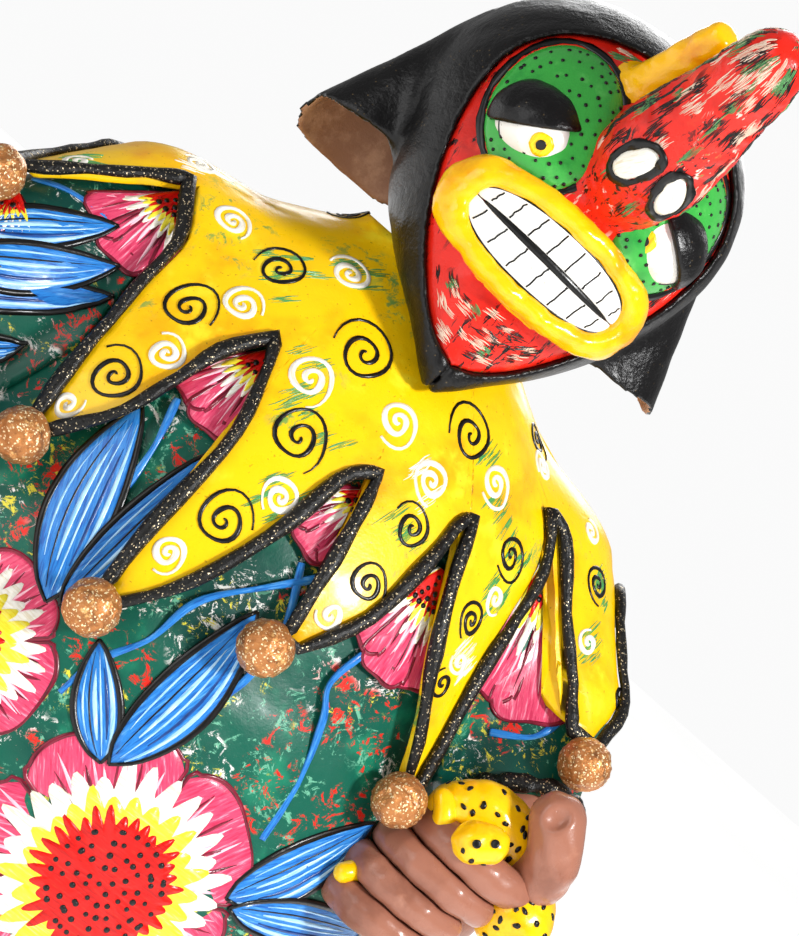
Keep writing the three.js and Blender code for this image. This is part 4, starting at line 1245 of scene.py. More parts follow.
def hand_part(part, distance, side, material, low, high):
    """Solid made on the +X side, and mirrored and shifted for the free hand."""
    shift = hand_shift(side)

    def placed(x, y, z):
        return distance(x * side - shift[0], y - shift[1], z - shift[2])

    low = np.array(low, float) + shift
    high = np.array(high, float) + shift
    if side < 0:
        low[0], high[0] = -high[0], -low[0]
    clad(f"{part}_{side_name(side)}", "skin_brown", placed, low, high, 1.0, material)


def fat_finger_distance(x, y, z, k):
    radius = FINGER_RADIUS - 0.2 * k + 1.5
    return chain_distance(x, y, z, finger_path(k),
                          [radius * 0.95, radius, radius * 1.03, radius, radius * 0.88])


def finger_distance(k):
    """Fat finger pressed flat against its neighbours."""

    def distance(x, y, z):
        body = fat_finger_distance(x, y, z, k)
        parted = body
        for beside in (k - 1, k + 1):
            if 0 <= beside < len(FINGER_NAMES):
                wall = (body - fat_finger_distance(x, y, z, beside)) / 2 + 0.15
                parted = smooth_max(parted, wall, 1.6)
        return parted - 0.3 * lumps(x, y, z, 12, 3 + k)

    return distance


def thumb_distance(x, y, z):
    thumb = chain_distance(x, y, z, THUMB_PATH, [11, 11, 10, 10.4])
    nail = ellipsoid_distance(x, y, z, (134, -114, 294), (5, 3, 6))
    return smooth_max(thumb - 0.5 * lumps(x, y, z, 11, 9), -nail, 1.5)


def palm_distance(x, y, z):
    ball = ellipsoid_distance(x, y, z, PALM_AT, PALM_SIZE)
    wrist = chain_distance(x, y, z, WRIST_PATH, [15, 16, 17, 17], 8)
    return smooth_min(ball, wrist, 6) - 0.3 * lumps(x, y, z, 14, 4)


def build_hands(material):
    for side in (1, -1):
        for k, label in enumerate(FINGER_NAMES):
            hand_part(f"finger_{label}", finger_distance(k), side, material, (84, -124, 200),
                      (158, -62, 272))
        hand_part("thumb", thumb_distance, side, material, (124, -124, 244), (164, -70, 306))
        hand_part("palm", palm_distance, side, material, (104, -108, 206), (168, -40, 306))


def leopard_body_distance(x, y, z):
    body = chain_distance(x, y, z, LEOPARD_PATH, LEOPARD_RADII)
    hip = ellipsoid_distance(x, y, z, (154, -98, 254), (13, 12, 13))
    return smooth_min(body, hip, 6) - 0.35 * lumps(x, y, z, 12, 2)


def leopard_head_distance(x, y, z):
    ends = [(LEOPARD_HEAD_X - 2, -111, LEOPARD_HEAD_Z - 1.5),
            (LEOPARD_HEAD_X + 3, -111, LEOPARD_HEAD_Z + 2)]
    skull = chain_distance(x, y, z, ends, [LEOPARD_HEAD_RADIUS, LEOPARD_HEAD_RADIUS - 1], 3)
    return skull - 0.4 * lumps(x, y, z, 9, 5)


def leopard_skin(x, y, z):
    return np.minimum(leopard_body_distance(x, y, z), leopard_head_distance(x, y, z))


def build_leopard(material):
    clad("leopard_body", "leopard_yellow", leopard_body_distance, (94, -122, 226),
         (178, -66, 292), 1.0, material)
    clad("leopard_head", "leopard_yellow", leopard_head_distance, (106, -130, 246),
         (146, -92, 284), 0.9, material)
    limbs = {
        "leopard_foreleg": ([(104, -98, 270), (107, -100, 267), (110, -101, 262)], [3.8, 4.2, 4.4]),
        "leopard_tail": ([(103, -92, 234), (98, -98, 230), (94, -101, 227)], [3.6, 4.2, 3.7]),
    }
    for name, (path, radii) in limbs.items():

        def distance(x, y, z):
            return chain_distance(x, y, z, path, radii, 6) - 0.3 * lumps(x, y, z, 7, 4)

        low = np.min(path, axis=0) - 8
        high = np.max(path, axis=0) + 8
        clad(name, "leopard_yellow", distance, low, high, 0.8, material)


# ------------------------------------------------------------------ painted decoration


def front_board(x, z, distance):
    """Drawing board on the foremost point of a surface."""
    return Patchwork(distance, front_points(distance, [x], [z])[0])


def board_between(start, end):
    """Drawing board over two places on the body: 0, 0 at the start, up towards the end."""
    start, end = body_points(whole_body_distance, [start[0], end[0]], [start[1], end[1]])
    board = Patchwork(whole_body_distance, (start + end) / 2)
    toward = end - start
    heading = math.degrees(math.atan2(-toward @ board.right, toward @ board.up))
    board = Patchwork(whole_body_distance, (start + end) / 2, heading)
    length = float(np.linalg.norm(toward))
    board.at = board.at - board.up * length / 2
    return board, length


def paints_for(names, prefix, slot, distance):
    """One collection of brush work for each named paint."""
    return {name: Paint(f"{prefix}_{name}", PAINTS[name], slot, distance) for name in names}


def polar(radii, angles):
    return np.stack([radii * np.sin(angles), radii * np.cos(angles)], 1)


def jagged(low, high, dabs, spread=math.pi):
    """Outline of brush dabs round 0, 0, as wide as the spread either side of straight up."""
    width = 2 * spread / dabs
    angles = []
    radii = []
    for k in range(dabs):
        start = -spread + k * width
        reach = high * (1 + 0.12 * RNG.uniform(-1, 1))
        lean = RNG.uniform(-0.12, 0.12)
        for part, rise in ((0.0, 0.0), (0.26, 0.66), (0.42, 0.95), (0.58, 1.0), (0.76, 0.7)):
            angles.append(start + (part + (lean if part else 0)) * width)
            radii.append(low + (reach - low) * rise)
    if spread < math.pi:
        angles.append(spread)
        radii.append(low)
    outline = polar(np.array(radii), np.array(angles))
    if spread < math.pi:
        outline = np.concatenate([outline, [[low * 0.08, -0.4], [-low * 0.08, -0.4]]])
    return outline


def grain_of(outline, centre, heading=0.0):
    """Brush direction of a patch whose strokes run this way on the board, 0 being up."""
    first = outline[0] - centre
    turn = math.atan2(first[0], first[1]) - heading
    return (math.cos(turn), -math.sin(turn))


def petal(paints, board, inner, outer, middle, half, streaks, rise=0.0):
    """Rounded petal between two radii, turned by the middle angle, in radians."""
    s = np.linspace(-1, 1, 19)
    reach = outer * (1 - 0.2 * np.abs(s) ** 3 - 0.04 * np.cos(s * 3))
    rim = polar(reach, middle + s * half)
    base = polar(np.full(7, inner), middle + np.linspace(1, -1, 7) * half * 0.96)
    centre = polar(np.array([(inner + outer) / 2]), np.array([middle]))[0]
    outline = np.concatenate([rim, base])
    grain = grain_of(outline, centre, middle)
    place = board.place
    paints["pink"].patch(place(outline), place(centre), 0.3 + rise, 5, grain)
    edge = np.concatenate([base[-1:] * 0.99, rim, base[:1] * 0.99])
    wide = 0.75 + 0.25 * np.sin(np.linspace(0, 7, len(edge)))
    wide = np.interp(np.linspace(0, 1, 40), np.linspace(0, 1, len(edge)), wide)
    paints["crimson"].line(place(smooth_path(edge, 40)), wide, 0.42 + rise)
    for k in range(streaks):
        angle = middle + half * (-0.8 + 1.6 * (k + 0.5) / streaks) + RNG.uniform(-0.02, 0.02)
        start = inner + (outer - inner) * RNG.uniform(0.15, 0.45)
        stop = inner + (outer - inner) * RNG.uniform(0.62, 0.86)
        bend = angle + np.linspace(0, 0.05, 8) * RNG.uniform(-1, 1)
        line = polar(np.linspace(start, stop, 8), bend)
        wide = RNG.uniform(0.4, 0.9) * np.sin(np.linspace(0.25, math.pi - 0.1, 8))
        tint = ("blush", "crimson", "blush")[k % 3]
        paints[tint].line(place(line), wide, 0.44 + rise)


def seeds(paints, board, radius, gap, spread=math.pi, start=0.0):
    """Black dots on the heart of a flower, in rings."""
    for ring in np.arange(gap * 0.6, radius, gap):
        count = max(1, int(2 * spread * ring / gap))
        for k in range(count):
            angle = -spread + 2 * spread * (k + 0.5) / count + ring + RNG.uniform(-0.2, 0.2)
            if spread < math.pi:
                angle = -spread * 0.8 + 1.6 * spread * (k + 0.5) / count
            middle = polar(np.array([start + ring]), np.array([angle]))[0]
            dot = middle + ring_of(RNG.uniform(0.85, 1.2), 8)
            paints["black"].patch(board.place(dot), board.place(middle), 1.25, 1)


# Hearts of the flowers: paint, inner and outer reach of its dabs, how many, how raised, and for
# a bud how far they spread to each side.
OPEN_HEART = [
    ("white", 0.62, 0.78, 30, 0.55), ("yellow", 0.5, 0.63, 26, 0.75), ("red", 0.4, 0.48, 34, 0.95),
]
BUD_HEART = [
    ("white", 0.42, 0.6, 8, 0.6, 0.62), ("yellow", 0.34, 0.47, 8, 0.8, 0.62),
    ("red", 0.26, 0.37, 9, 1.0, 0.64),
]


def big_flower(paints, angle, height, radius, petals, turn):
    at = body_points(whole_body_distance, [angle], [height])[0]
    board = Patchwork(whole_body_distance, at)
    half = math.pi / petals * 0.97
    for k in range(petals):
        size = radius * RNG.uniform(0.95, 1.04)
        petal(paints, board, radius * 0.3, size, turn + 2 * math.pi * k / petals, half, 13)
    for tint, low, high, dabs, lift in OPEN_HEART:
        outline = board.place(jagged(radius * low, radius * high, dabs))
        paints[tint].patch(outline, board.at, lift, 4)
    seeds(paints, board, radius * 0.4, 4.4)


def bud(paints, top, bottom):
    """Half flower that hangs from a notch of the cape."""
    board, length = board_between(top, bottom)
    for k, lean in enumerate((-0.4, 0.4, 0.0)):
        petal(paints, board, length * 0.12, length * (0.98, 0.95, 1.02)[k], lean, 0.3, 6, k * 0.06)
    centre = board.place([0.0, length * 0.18])
    for tint, low, high, dabs, lift, half in BUD_HEART:
        outline = board.place(jagged(length * low, length * high, dabs, half))
        paints[tint].patch(outline, centre, lift, 3)
    seeds(paints, board, length * 0.3, 3.0, 0.55, 1.5)


def leaf(paints, start, end, width, lean, rise):
    board, length = board_between(start, end)
    outline = leaf_outline(length, width, lean)
    centre = np.array([lean, length * 0.48])
    grain = grain_of(outline, centre)
    place = board.place
    paints["blue"].patch(place(outline), place(centre), 0.6 + rise, 5, grain)
    half = len(outline) // 2
    for side in (outline[:half + 1], np.concatenate([outline[half:], outline[:1]])):
        line = smooth_path(side, 26)
        wide = 0.6 + 0.85 * np.sin(np.linspace(0.1, math.pi - 0.1, 26))
        paints["black"].line(place(line), wide, 0.8 + rise)
    t = np.linspace(0.06, 0.9, 14)
    for k, across in enumerate((-0.62, -0.34, -0.1, 0.16, 0.42, 0.66)):
        shape = leaf_half_width(t, width) * across + lean * np.sin(math.pi * t)
        part = slice(0, 14) if k % 2 else slice(2, 12)
        line = np.stack([shape, t * length], 1)[part]
        wide = (0.35 + 0.45 * (k % 3) / 2) * np.sin(np.linspace(0.3, math.pi - 0.1, len(line)))
        tint = ("sky", "black", "sky", "sky", "navy", "sky")[k]
        paints[tint].line(place(line), wide * (0.7 if tint == "black" else 1.3), 0.72 + rise)


def vine(paints, nodes):
    line = body_points(whole_body_distance, *np.array(nodes, float).T)
    line = smooth_path(line, 8 * len(nodes))
    step = np.linspace(0, 3 * len(nodes), len(line))
    paints["blue"].line(line, 1.35 + 0.3 * np.sin(step), 0.35)


# Half flowers under the notches: angle and height of the cap, then of the petals' tips.
BUDS = [
    ((-73, 368), (-63, 333)), ((-31, 349), (-27, 313)), ((8, 336), (1, 305)),
    ((31, 330), (28, 287)), ((65, 358), (62, 306)), ((112, 350), (110, 308)),
    ((143, 344), (143, 304)), ((171, 346), (171, 306)), ((200, 344), (200, 304)),
    ((226, 348), (228, 308)), ((255, 360), (251, 320)), ((-73, 330), (-64, 306)),
]
# Open flowers: angle and height of the heart, radius, petals, turn.
FLOWERS = [
    (11.5, 176, 57, 5, 0.55), (-31, 206, 39, 5, 0.2), (62, 120, 44, 5, 0.4), (-48, 92, 50, 5, 0.9),
    (12, 62, 36, 5, 0.1), (104, 176, 46, 5, 0.3), (148, 120, 50, 5, 0.7), (186, 190, 44, 5, 0.2),
    (222, 108, 50, 5, 0.5), (262, 186, 44, 5, 0.8), (104, 72, 34, 5, 0.2), (186, 62, 36, 5, 0.6),
    (-92, 78, 36, 5, 0.1),
]
# Leaves: angle and height of the base, of the tip, half width, lean.
LEAVES = [
    (-25, 236, -38, 306, 12, -3), (-23, 238, -23, 310, 10, 3), (-2, 208, -15, 239, 8, -1),
    (-1, 209, 2, 280, 11, 3), (29, 196, 47, 246, 12, 3), (30, 194, 66, 206, 9, -2),
    (-70, 306, -67, 344, 8, 2), (-66, 294, -62, 334, 9, 2), (-66, 280, -56, 325, 8, -2),
    (-64, 268, -52, 292, 7, 1), (84, 196, 78, 252, 10, 2), (84, 194, 92, 250, 10, -2),
    (126, 170, 122, 238, 11, 2), (127, 168, 138, 232, 11, 3), (168, 176, 158, 236, 10, -2),
    (206, 176, 214, 240, 11, 2), (205, 174, 196, 232, 10, -3), (240, 176, 236, 244, 11, 2),
    (242, 174, 250, 240, 10, 2), (36, 100, 30, 140, 8, 2), (-18, 104, -14, 150, 9, 2),
    (-74, 140, -70, 200, 10, 2), (-75, 138, -86, 190, 9, -2), (84, 100, 84, 148, 9, 2),
    (126, 60, 118, 110, 9, 2), (170, 84, 164, 134, 9, 2), (204, 64, 208, 110, 9, -2),
    (246, 70, 246, 124, 9, 2),
]
VINES = [
    [(-76, 336), (-72, 342), (-68, 344)], [(-35, 315), (-31, 299), (-29, 282)],
    [(10, 306), (1, 289), (-7, 270), (-9, 250), (-13, 233), (-14, 217)],
    [(3, 302), (8, 280), (8, 263), (6, 248), (0, 229), (-3, 213)],
    [(24, 294), (21, 277), (24, 265), (27, 244), (28, 220)],
    [(64, 314), (62, 304), (60, 295)], [(84, 300), (88, 270), (82, 240), (86, 200)],
    [(112, 300), (118, 262), (126, 200)], [(146, 300), (154, 262), (166, 220), (168, 180)],
    [(172, 300), (176, 262), (186, 230)], [(200, 300), (196, 262), (205, 180)],
    [(228, 304), (232, 262), (241, 180)], [(250, 316), (256, 280), (262, 232)],
    [(-20, 150), (-30, 130), (-40, 132)], [(50, 150), (42, 138), (36, 104)],
]


def paint_robe():
    names = ("pink", "blue", "black", "crimson", "blush", "sky", "navy", "white", "yellow", "red")
    paints = paints_for(names, "robe_paint", "robe_green", whole_body_distance)
    for nodes in VINES:
        vine(paints, nodes)
    for k, (a0, h0, a1, h1, width, lean) in enumerate(LEAVES):
        leaf(paints, (a0, h0), (a1, h1), width, lean, 0.3 * (k % 2))
    for flower in FLOWERS:
        big_flower(paints, *flower)
    for top, bottom in BUDS:
        bud(paints, top, bottom)
    for paint in paints.values():
        paint.build()


# Spirals on the front of the cape: angle, height, diameter, first angle in radians.
BLACK_SPIRALS = [
    (-91, 403, 16, 0.5), (-48, 371, 20, 1.2), (-48, 340, 21, 2.6), (-44, 307, 20, 0.2),
    (-13, 333, 23, 1.8), (-15, 369, 25, 0.9), (-13, 296, 20, 2.9), (18, 335, 16, 0.4),
    (15, 311, 15, 2.2), (26, 372, 23, 1.1), (48, 349, 17, 0.1), (41, 323, 14, 1.9),
    (40, 300, 11, 0.8), (72, 361, 14, 2.4), (68, 386, 14, 1.4), (72, 335, 11, 0.7),
]
WHITE_SPIRALS = [
    (-77, 351, 11, 0.3), (-80, 379, 13, 1.1), (-64, 372, 15, 2.0), (-39, 386, 16, 0.8),
    (-43, 353, 15, 2.8), (-42, 324, 14, 0.1), (-20, 350, 20, 1.5), (-45, 289, 11, 2.2),
    (3, 359, 18, 0.6), (-8, 314, 14, 1.9), (-16, 276, 13, 0.9), (18, 351, 16, 2.5),
    (38, 365, 17, 0.2), (65, 380, 12, 1.3), (12, 295, 11, 2.1), (46, 334, 11, 0.4),
    (42, 309, 9, 1.7), (74, 374, 10, 2.9), (67, 343, 10, 0.5),
]


# Spirals up a tooth of the back: part of the way from tip to notch, paint, diameter.
BACK_SPIRALS = [
    (0.24, "white", 12), (0.46, "black", 16), (0.7, "white", 15), (0.92, "black", 19),
    (1.12, "white", 16), (1.27, "black", 20),
]


def spiral_marks():
    """Every spiral of the cape: paint, angle, height, diameter, first angle in radians."""
    marks = []
    for tint, table, scale in (("black", BLACK_SPIRALS, 1.18), ("white", WHITE_SPIRALS, 1.12)):
        marks += [(tint, angle, height, size * scale, turn) for angle, height, size, turn in table]
    for k, (angle, height, _, notch, _) in enumerate(CAPE_TEETH[6:]):
        for up, tint, size in BACK_SPIRALS:
            shift = 5 * math.sin(3 * k + up * 9)
            marks.append((tint, angle + shift, height + (notch - height) * up, size, k + up))
    return marks


def paint_cape():
    paints = paints_for(("black", "white", "leafgreen"), "cape_paint", "cape_yellow",
                        cape_distance)
    for k, (tint, angle, height, size, turn) in enumerate(spiral_marks()):
        at = body_points(cape_distance, [angle], [min(height, 402)])[0]
        board = Patchwork(cape_distance, at)
        smear = "leafgreen" if k % 3 == 1 else tint if k % 5 == 2 and tint == "white" else None
        for _ in range(5 if smear else 0):
            spot = board.place(RNG.uniform(-0.5, 0.5, 2) * size)
            drag(paints[smear], cape_distance, spot, board.up + 0.5 * board.right,
                 RNG.uniform(7, 13), int(RNG.integers(5, 10)))
        spiral(paints[tint], board, size, 0.8 if tint == "black" else 1.1,
               2.4 if size > 13 else 1.8, turn, 1 if k % 2 else -1)
    for paint in paints.values():
        paint.build()


def paint_socket(side, flat):
    """Black outline on the mask round the eye socket, and the dots on the socket."""
    turn = full_turn(60)
    x = HEAD_X + side * SOCKET_SPREAD + (SOCKET_HALF_WIDTH + 1.2) * np.cos(turn)
    z = SOCKET_HEIGHT + (SOCKET_HALF_HEIGHT + 1.2) * np.sin(turn)
    wide = 1.7 + 0.35 * np.sin(np.arange(60) * 0.9) + 0.25 * np.sin(np.arange(60) * 2.3)
    flat.line(front_points(mask_front, x, z), wide, 0.5, closed=True)

    def socket(x, y, z):
        return socket_distance(x, y, z, side)

    dots = Paint(f"socket_dots_{side_name(side)}", PAINTS["gloss_black"], "socket_green", socket)
    for ring in (0.2, 0.4, 0.6, 0.8, 0.93):
        count = int(34 * ring)
        for k in range(count):
            turn = 2 * math.pi * (k + ring * 3) / count + RNG.uniform(-0.08, 0.08)
            x = HEAD_X + side * SOCKET_SPREAD + SOCKET_HALF_WIDTH * ring * math.cos(turn)
            z = SOCKET_HEIGHT + SOCKET_HALF_HEIGHT * ring * math.sin(turn)
            board = front_board(x, z, socket)
            dot = ring_of(RNG.uniform(0.55, 0.85), 8)
            dots.patch(board.place(dot), board.at, 0.35, 1)
    dots.build()


def paint_eye(side):
    """Lower eye line, iris and pupil."""

    def eye(x, y, z):
        return eyeball_distance(x, y, z, side)

    name = side_name(side)
    rim = Paint(f"eye_line_{name}", PAINTS["gloss_black"], "white_gloss", eye)
    low = np.linspace(math.pi * 0.98, math.pi * 2.02, 26)
    centre = eye_centre(side)
    x = centre[0] + 0.95 * EYE_SIZE[0] * np.cos(low)
    z = centre[2] + 0.95 * EYE_SIZE[2] * np.sin(low)
    rim.line(front_points(eye, x, z), 0.42, 0.25)
    rim.build()
    board = front_board(*IRIS_AT[side], eye)
    for tint, size, lift, shake in (("iris", 4.7, 0.3, 0.06), ("gloss_black", 1.9, 0.6, 0.05)):
        paint = Paint(f"eye_{tint}_{name}", PAINTS[tint], "white_gloss", eye)
        paint.patch(board.place(ring_of(size, 20, shake)), board.at, lift, 3)
        paint.build()


def nostril_board(side):
    """Drawing board under the snout, with up along the nose and turned a little outwards."""
    direction = unit(np.array(NOSE_END, float) - np.array(NOSE_ROOT, float))
    below = np.array([0, -direction[2], direction[1]])
    at = np.array(NOSE_ROOT) + direction * NOSTRIL_ALONG + below * 18
    at[0] += side * NOSTRIL_SIDE
    board = Patchwork(nose_distance, at)
    along = direction - 0.42 * side * np.array([1.0, 0, 0])
    normal = np.cross(board.right, board.up)
    board.up = unit(along - normal * (along @ normal))
    board.right = np.cross(board.up, normal)
    return board


def paint_nostrils():
    rims = Paint("nostril_rims", PAINTS["gloss_black"], "mask_red", nose_distance)
    turn = full_turn(40)
    for side in (1, -1):
        name = f"nostril_{side_name(side)}"
        board = nostril_board(side)
        white = Paint(f"{name}_painted", PAINTS["white"], "white_gloss", nose_distance)
        oval = np.stack([5.4 * np.cos(turn), 10.2 * np.sin(turn)], 1)
        white.patch(board.place(oval), board.at, 0.4, 4, crown=1.6)
        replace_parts(white.build(), name)
        rim = np.stack([6.5 * np.cos(turn), 11.6 * np.sin(turn)], 1)
        wide = 1.7 + 0.4 * np.sin(turn * 3 + side) + 0.3 * np.sin(turn * 7)
        rims.line(board.place(rim), wide, 0.9, closed=True)
    rims.build()


def paint_face():
    flat = Paint("mask_paint_black", PAINTS["gloss_black"], "mask_red", mask_front)
    for side in (1, -1):
        paint_socket(side, flat)
        paint_eye(side)
    flat.build()
    paint_nostrils()
    drag_over_face()
    paint_teeth()


def drag(paint, distance, at, direction, length, hairs):
    """One dab of a nearly dry brush: a few thin hairs side by side."""
    normal = normals_at(distance, at[None])[0]
    direction = unit(direction - normal * (direction @ normal))
    beside = np.cross(normal, direction)
    for k in range(hairs):
        size = length * RNG.uniform(0.4, 1)
        start = (at + beside * (k - hairs / 2) * 0.44
                 + direction * RNG.uniform(-0.35, 0.35) * length)
        along = np.linspace(-0.5, 0.5, 6) * size
        bend = 0.3 * RNG.uniform(-1, 1) * (along / size * 2) ** 2
        path = start + direction * along[:, None] + beside * bend[:, None]
        wide = RNG.uniform(0.1, 0.3) * np.sin(np.linspace(0.35, math.pi - 0.25, 6))
        paint.line(path, wide, 0.16)


def drag_over_mask(name, count):
    paint = Paint(f"mask_dabs_{name}", PAINTS[name], "mask_red", mask_front)
    while count:
        x = HEAD_X + RNG.uniform(-48, 48)
        z = RNG.uniform(392, 512)
        free = min(socket_reach(x, z, 1), socket_reach(x, z, -1)) > 1.16
        inside = window_distance(x, -80, z, 4) < 0
        if not (free and inside and mouth_gap(x, z, MOUTH_HALF_LENGTH, 17) > 8):
            continue
        round_face = np.array([z - 455, 0, HEAD_X - x]) + 6 * RNG.normal(0, 1, 3)
        at = front_points(mask_front, [x], [z])[0]
        drag(paint, mask_front, at, round_face, RNG.uniform(4, 9), int(RNG.integers(4, 10)))
        count -= 1
    return paint


def drag_over_nose(name, count):
    paint = Paint(f"nose_dabs_{name}", PAINTS[name], "mask_red", nose_distance)
    axis = unit(np.array(NOSE_END, float) - np.array(NOSE_ROOT, float))
    aside = unit(np.cross(axis, [0, 0, 1.0]))
    below = np.cross(axis, aside)
    for _ in range(count):
        turn = RNG.uniform(0, 2 * math.pi)
        along = RNG.uniform(6, 90) if name == "gloss_black" else 90 - RNG.uniform(0, 9) ** 2
        around = aside * math.cos(turn) + below * math.sin(turn)
        at = snap(nose_distance, (np.array(NOSE_ROOT) + axis * along + around * 15)[None])[0]
        drag(paint, nose_distance, at, axis + 0.15 * around, RNG.uniform(6, 14),
             int(RNG.integers(4, 11)))
    return paint


def drag_over_face():
    """Black, white and green dabs over the red of the mask and the nose."""
    for name, on_mask, on_nose in (("gloss_black", 44, 96), ("bone", 30, 50),
                                   ("mossgreen", 14, 44)):
        drag_over_mask(name, on_mask).build()
        drag_over_nose(name, on_nose).build()


def socket_reach(x, z, side):
    across = (x - HEAD_X - side * SOCKET_SPREAD) / SOCKET_HALF_WIDTH
    return math.hypot(across, (z - SOCKET_HEIGHT) / SOCKET_HALF_HEIGHT)


# Gaps between the teeth, from the head's middle, for the upper and the lower row.
TOOTH_GAPS = {1: (-29, -21, -12, -3, 6, 15, 23, 30), -1: (-28, -19, -9, 1, 11, 20, 28)}


def paint_teeth():
    lines = Paint("teeth_lines", PAINTS["gloss_black"], "white_gloss", teeth_distance)
    for up, places in TOOTH_GAPS.items():
        for place in places:
            tall = 12.5 * math.sqrt(1 - (place / 37) ** 2)
            z = mouth_line(place) + up * np.linspace(1.6, tall - 1, 7)
            x = HEAD_X + place + up * np.linspace(0, 1.6, 7) + RNG.uniform(-0.3, 0.3, 7)
            lines.line(front_points(teeth_distance, x, z), 0.38, 0.2)
    turn = full_turn(70)
    square = 0.84
    run = np.sign(np.cos(turn)) * np.abs(np.cos(turn)) ** square
    rise = np.sign(np.sin(turn)) * np.abs(np.sin(turn)) ** square
    x = HEAD_X + run * (MOUTH_HALF_LENGTH - LIP_RADIUS + 0.6)
    z = MOUTH_HEIGHT + rise * (MOUTH_HALF_HEIGHT - LIP_RADIUS + 0.6)
    lines.line(front_points(teeth_distance, x, z), 0.55, 0.3, closed=True)
    lines.build()
    slit = Paint("mouth_slit", PAINTS["gloss_black"], "hood_black", teeth_distance, -1.6)
    across = np.linspace(-30, 30, 24)
    middle = front_points(teeth_distance, HEAD_X + across, mouth_line(across), -1.6)
    slit.line(middle, 1.9 * np.sqrt(1 - (across / 31.5) ** 2), 0.3)
    slit.build()


def paint_leopard():
    spots = Paint("leopard_spots", PAINTS["gloss_black"], "leopard_yellow", leopard_skin)
    for x in np.arange(100, 176, 5.2):
        for z in np.arange(232, 292, 5.2):
            spot_x = x + RNG.uniform(-1.6, 1.6)
            spot_z = z + RNG.uniform(-1.6, 1.6)
            at = front_points(leopard_skin, [spot_x], [spot_z])[0]
            on_head = leopard_head_distance(*at) < 0.6 and RNG.uniform() < 0.6
            if at[1] > -70 or abs(leopard_skin(*at)) > 0.3 or on_head:
                continue
            board = Patchwork(leopard_skin, at, RNG.uniform(0, 180))
            dot = ring_of(1.0, 9, 0.15) * [RNG.uniform(1.0, 1.5), RNG.uniform(0.7, 0.95)]
            spots.patch(board.place(dot * 1.15), board.at, 0.35, 1)
    for side in (1, -1):
        board = front_board(LEOPARD_HEAD_X - 1 + side * 2.7, LEOPARD_HEAD_Z + 2 + side * 2,
                            leopard_head_distance)
        spots.patch(board.place(ring_of(1.6, 14)), board.at, 0.7, 2)
    spots.build()


PAINTS = {}


def mix_paints():
    """Paints for the brush work: base, darker and lighter streaks."""
    tints = {
        "pink": ((216, 70, 106), (190, 38, 78), (244, 164, 186)),
        "blush": ((250, 196, 210), (236, 140, 168), (255, 232, 236)),
        "crimson": ((120, 20, 44), (60, 8, 22), (168, 40, 70)),
        "blue": ((40, 122, 200), (20, 78, 160), (104, 172, 228)),
        "sky": ((168, 212, 244), (110, 176, 232), (226, 242, 252)),
        "navy": ((22, 62, 128), (10, 30, 76), (50, 104, 180)),
        "black": ((14, 13, 13), (6, 6, 6), (36, 34, 34)),
        "gloss_black": ((13, 12, 12), (6, 6, 6), (30, 28, 28)),
        "white": ((244, 240, 228), (222, 210, 180), (255, 255, 252)),
        "yellow": ((248, 232, 60), (240, 204, 30), (255, 246, 150)),
        "bone": ((226, 200, 178), (214, 132, 112), (246, 238, 226)),
        "mossgreen": ((82, 140, 84), (50, 96, 52), (132, 176, 120)),
        "iris": ((250, 206, 12), (238, 166, 6), (255, 226, 80)),
        "red": ((216, 16, 9), (172, 8, 6), (236, 48, 30)),
        "leafgreen": ((74, 156, 86), (150, 170, 50), (110, 186, 120)),
    }
    for name, (base, dark, light) in tints.items():
        PAINTS[name] = stroke_finish(f"{name}_stroke_paint", base, dark, light)


# ------------------------------------------------------------------ camera and light


CAMERA_TARGET = (0.0206, -0.06, 0.346)
CAMERA_AZIMUTH = -14
CAMERA_ELEVATION = 3
CAMERA_ROLL = 42
CAMERA_DISTANCE = 1.0
CAMERA_LENS = 106.8
CAMERA_SENSOR = 36
LIGHT_TARGET = (0.0, -0.03, 0.33)
# Lamps: name, place, disk size, power in watts.
LAMPS = [
    ("key", (0.8, -1.15, 1.15), 0.26, 27),
    ("fill", (-1.3, -0.9, 0.7), 1.0, 7),
    ("back", (0.3, 1.3, 1.1), 1.0, 12),
]
WORLD_LIGHT = 0.3
WORLD_SEEN = 0.96


def build_camera():
    azimuth, elevation, roll = (
        math.radians(value) for value in (CAMERA_AZIMUTH, CAMERA_ELEVATION, CAMERA_ROLL))
    back = Vector((math.sin(azimuth) * math.cos(elevation),
                   -math.cos(azimuth) * math.cos(elevation), math.sin(elevation)))
    level = Vector((math.cos(azimuth), math.sin(azimuth), 0))
    upright = back.cross(level)
    right = math.cos(roll) * level + math.sin(roll) * upright
    up = math.cos(roll) * upright - math.sin(roll) * level
    camera = bpy.data.objects.new("camera", bpy.data.cameras.new("camera"))
    matrix = Matrix((right, up, back)).transposed().to_4x4()
    matrix.translation = Vector(CAMERA_TARGET) + back * CAMERA_DISTANCE
    camera.matrix_world = matrix
    camera.data.lens = CAMERA_LENS
    camera.data.sensor_width = CAMERA_SENSOR
    bpy.context.scene.collection.objects.link(camera)
    bpy.context.scene.camera = camera


def add_lamp(name, place, size, power):
    light = bpy.data.lights.new(name, "AREA")
    light.shape = "DISK"
    light.size = size
    light.energy = power
    lamp = bpy.data.objects.new(name, light)
    lamp.location = place
    aim = Vector(LIGHT_TARGET) - Vector(place)
    lamp.rotation_euler = aim.to_track_quat("-Z", "Y").to_euler()
    bpy.context.scene.collection.objects.link(lamp)


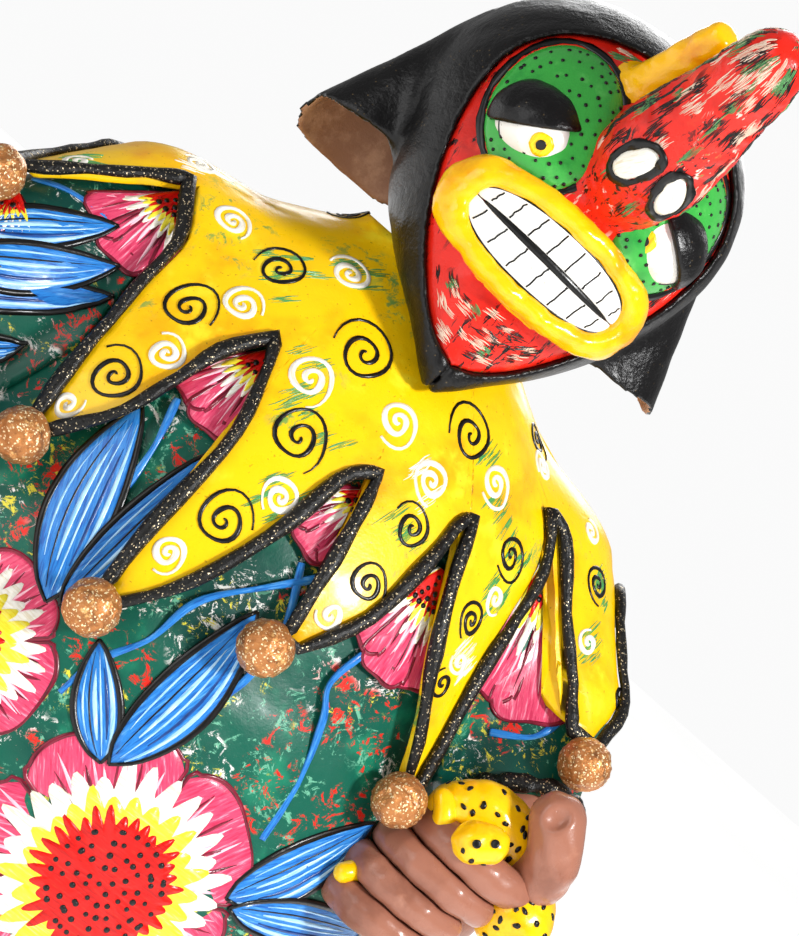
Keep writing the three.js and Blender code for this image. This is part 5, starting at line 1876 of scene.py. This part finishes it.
def build_floor():
    finish = Finish("pale_floor", (236, 236, 234), 0.7)
    finish.mottle((228, 228, 226), 3, 0.4, 0.7, 3)
    finish.bump(finish.noise(220, 3), 0.1, 0.0005)
    finish.shader.inputs["Emission Color"].default_value = (1.0, 1.0, 1.0, 1.0)
    finish.shader.inputs["Emission Strength"].default_value = 0.75
    size = 6.0
    points = [(-size, -size, 0), (size, -size, 0), (size, size, 0), (-size, size, 0)]
    floor = make_object("floor", np.array(points) / MM, [[0, 1, 2, 3]], finish.material)


def build_world():
    """White to look at, but a dim light."""
    world = bpy.data.worlds.new("studio")
    world.use_nodes = True
    nodes = world.node_tree.nodes
    nodes["Background"].inputs["Color"].default_value = (1.0, 1.0, 1.0, 1.0)
    seen = nodes.new("ShaderNodeMapRange")
    seen.inputs["To Min"].default_value = WORLD_LIGHT
    seen.inputs["To Max"].default_value = WORLD_SEEN
    links = world.node_tree.links
    links.new(nodes.new("ShaderNodeLightPath").outputs["Is Camera Ray"], seen.inputs["Value"])
    links.new(seen.outputs["Result"], nodes["Background"].inputs["Strength"])
    bpy.context.scene.world = world
    bpy.context.scene.view_settings.view_transform = "Standard"


# ------------------------------------------------------------------ everything


def main():
    build_camera()
    build_floor()
    build_world()
    for lamp in LAMPS:
        add_lamp(*lamp)
    wood = wood_finish()
    black = black_finish()
    glitter = glitter_finish()
    white = white_finish()
    red = dry_brushed("mask_red_paint", (224, 36, 22), (0.3, 0.2, 0.9), (1, 1, 0.3))
    nose_red = dry_brushed("nose_red_paint", (224, 36, 22), (-0.85, 0, 0), (1, 1, 0.14))
    yellow = gloss_finish("gloss_yellow_paint", (254, 190, 4), (236, 150, 2),
                          (255, 208, 30))
    green = gloss_finish("socket_green_paint", (58, 168, 66), (34, 138, 54),
                         (88, 190, 88))
    leopard = gloss_finish("leopard_yellow_paint", (253, 198, 4), (236, 158, 2),
                           (255, 216, 40))
    robe = robe_finish()
    build_base(wood, black)
    build_robe(robe)
    for side in (1, -1):
        build_sleeve(side, robe, glitter)
        build_ear(side, black, ear_inside_finish())
    build_cape(cape_finish())
    build_cord(glitter)
    build_balls(bronze_finish())
    build_hood(black)
    build_mask(red, nose_red)
    build_horn(yellow)
    build_eyes(green, white, black)
    build_mouth(yellow, white)
    build_hands(skin_finish())
    build_leopard(leopard)
    mix_paints()
    paint_robe()
    paint_cape()
    paint_face()
    paint_leopard()


main()
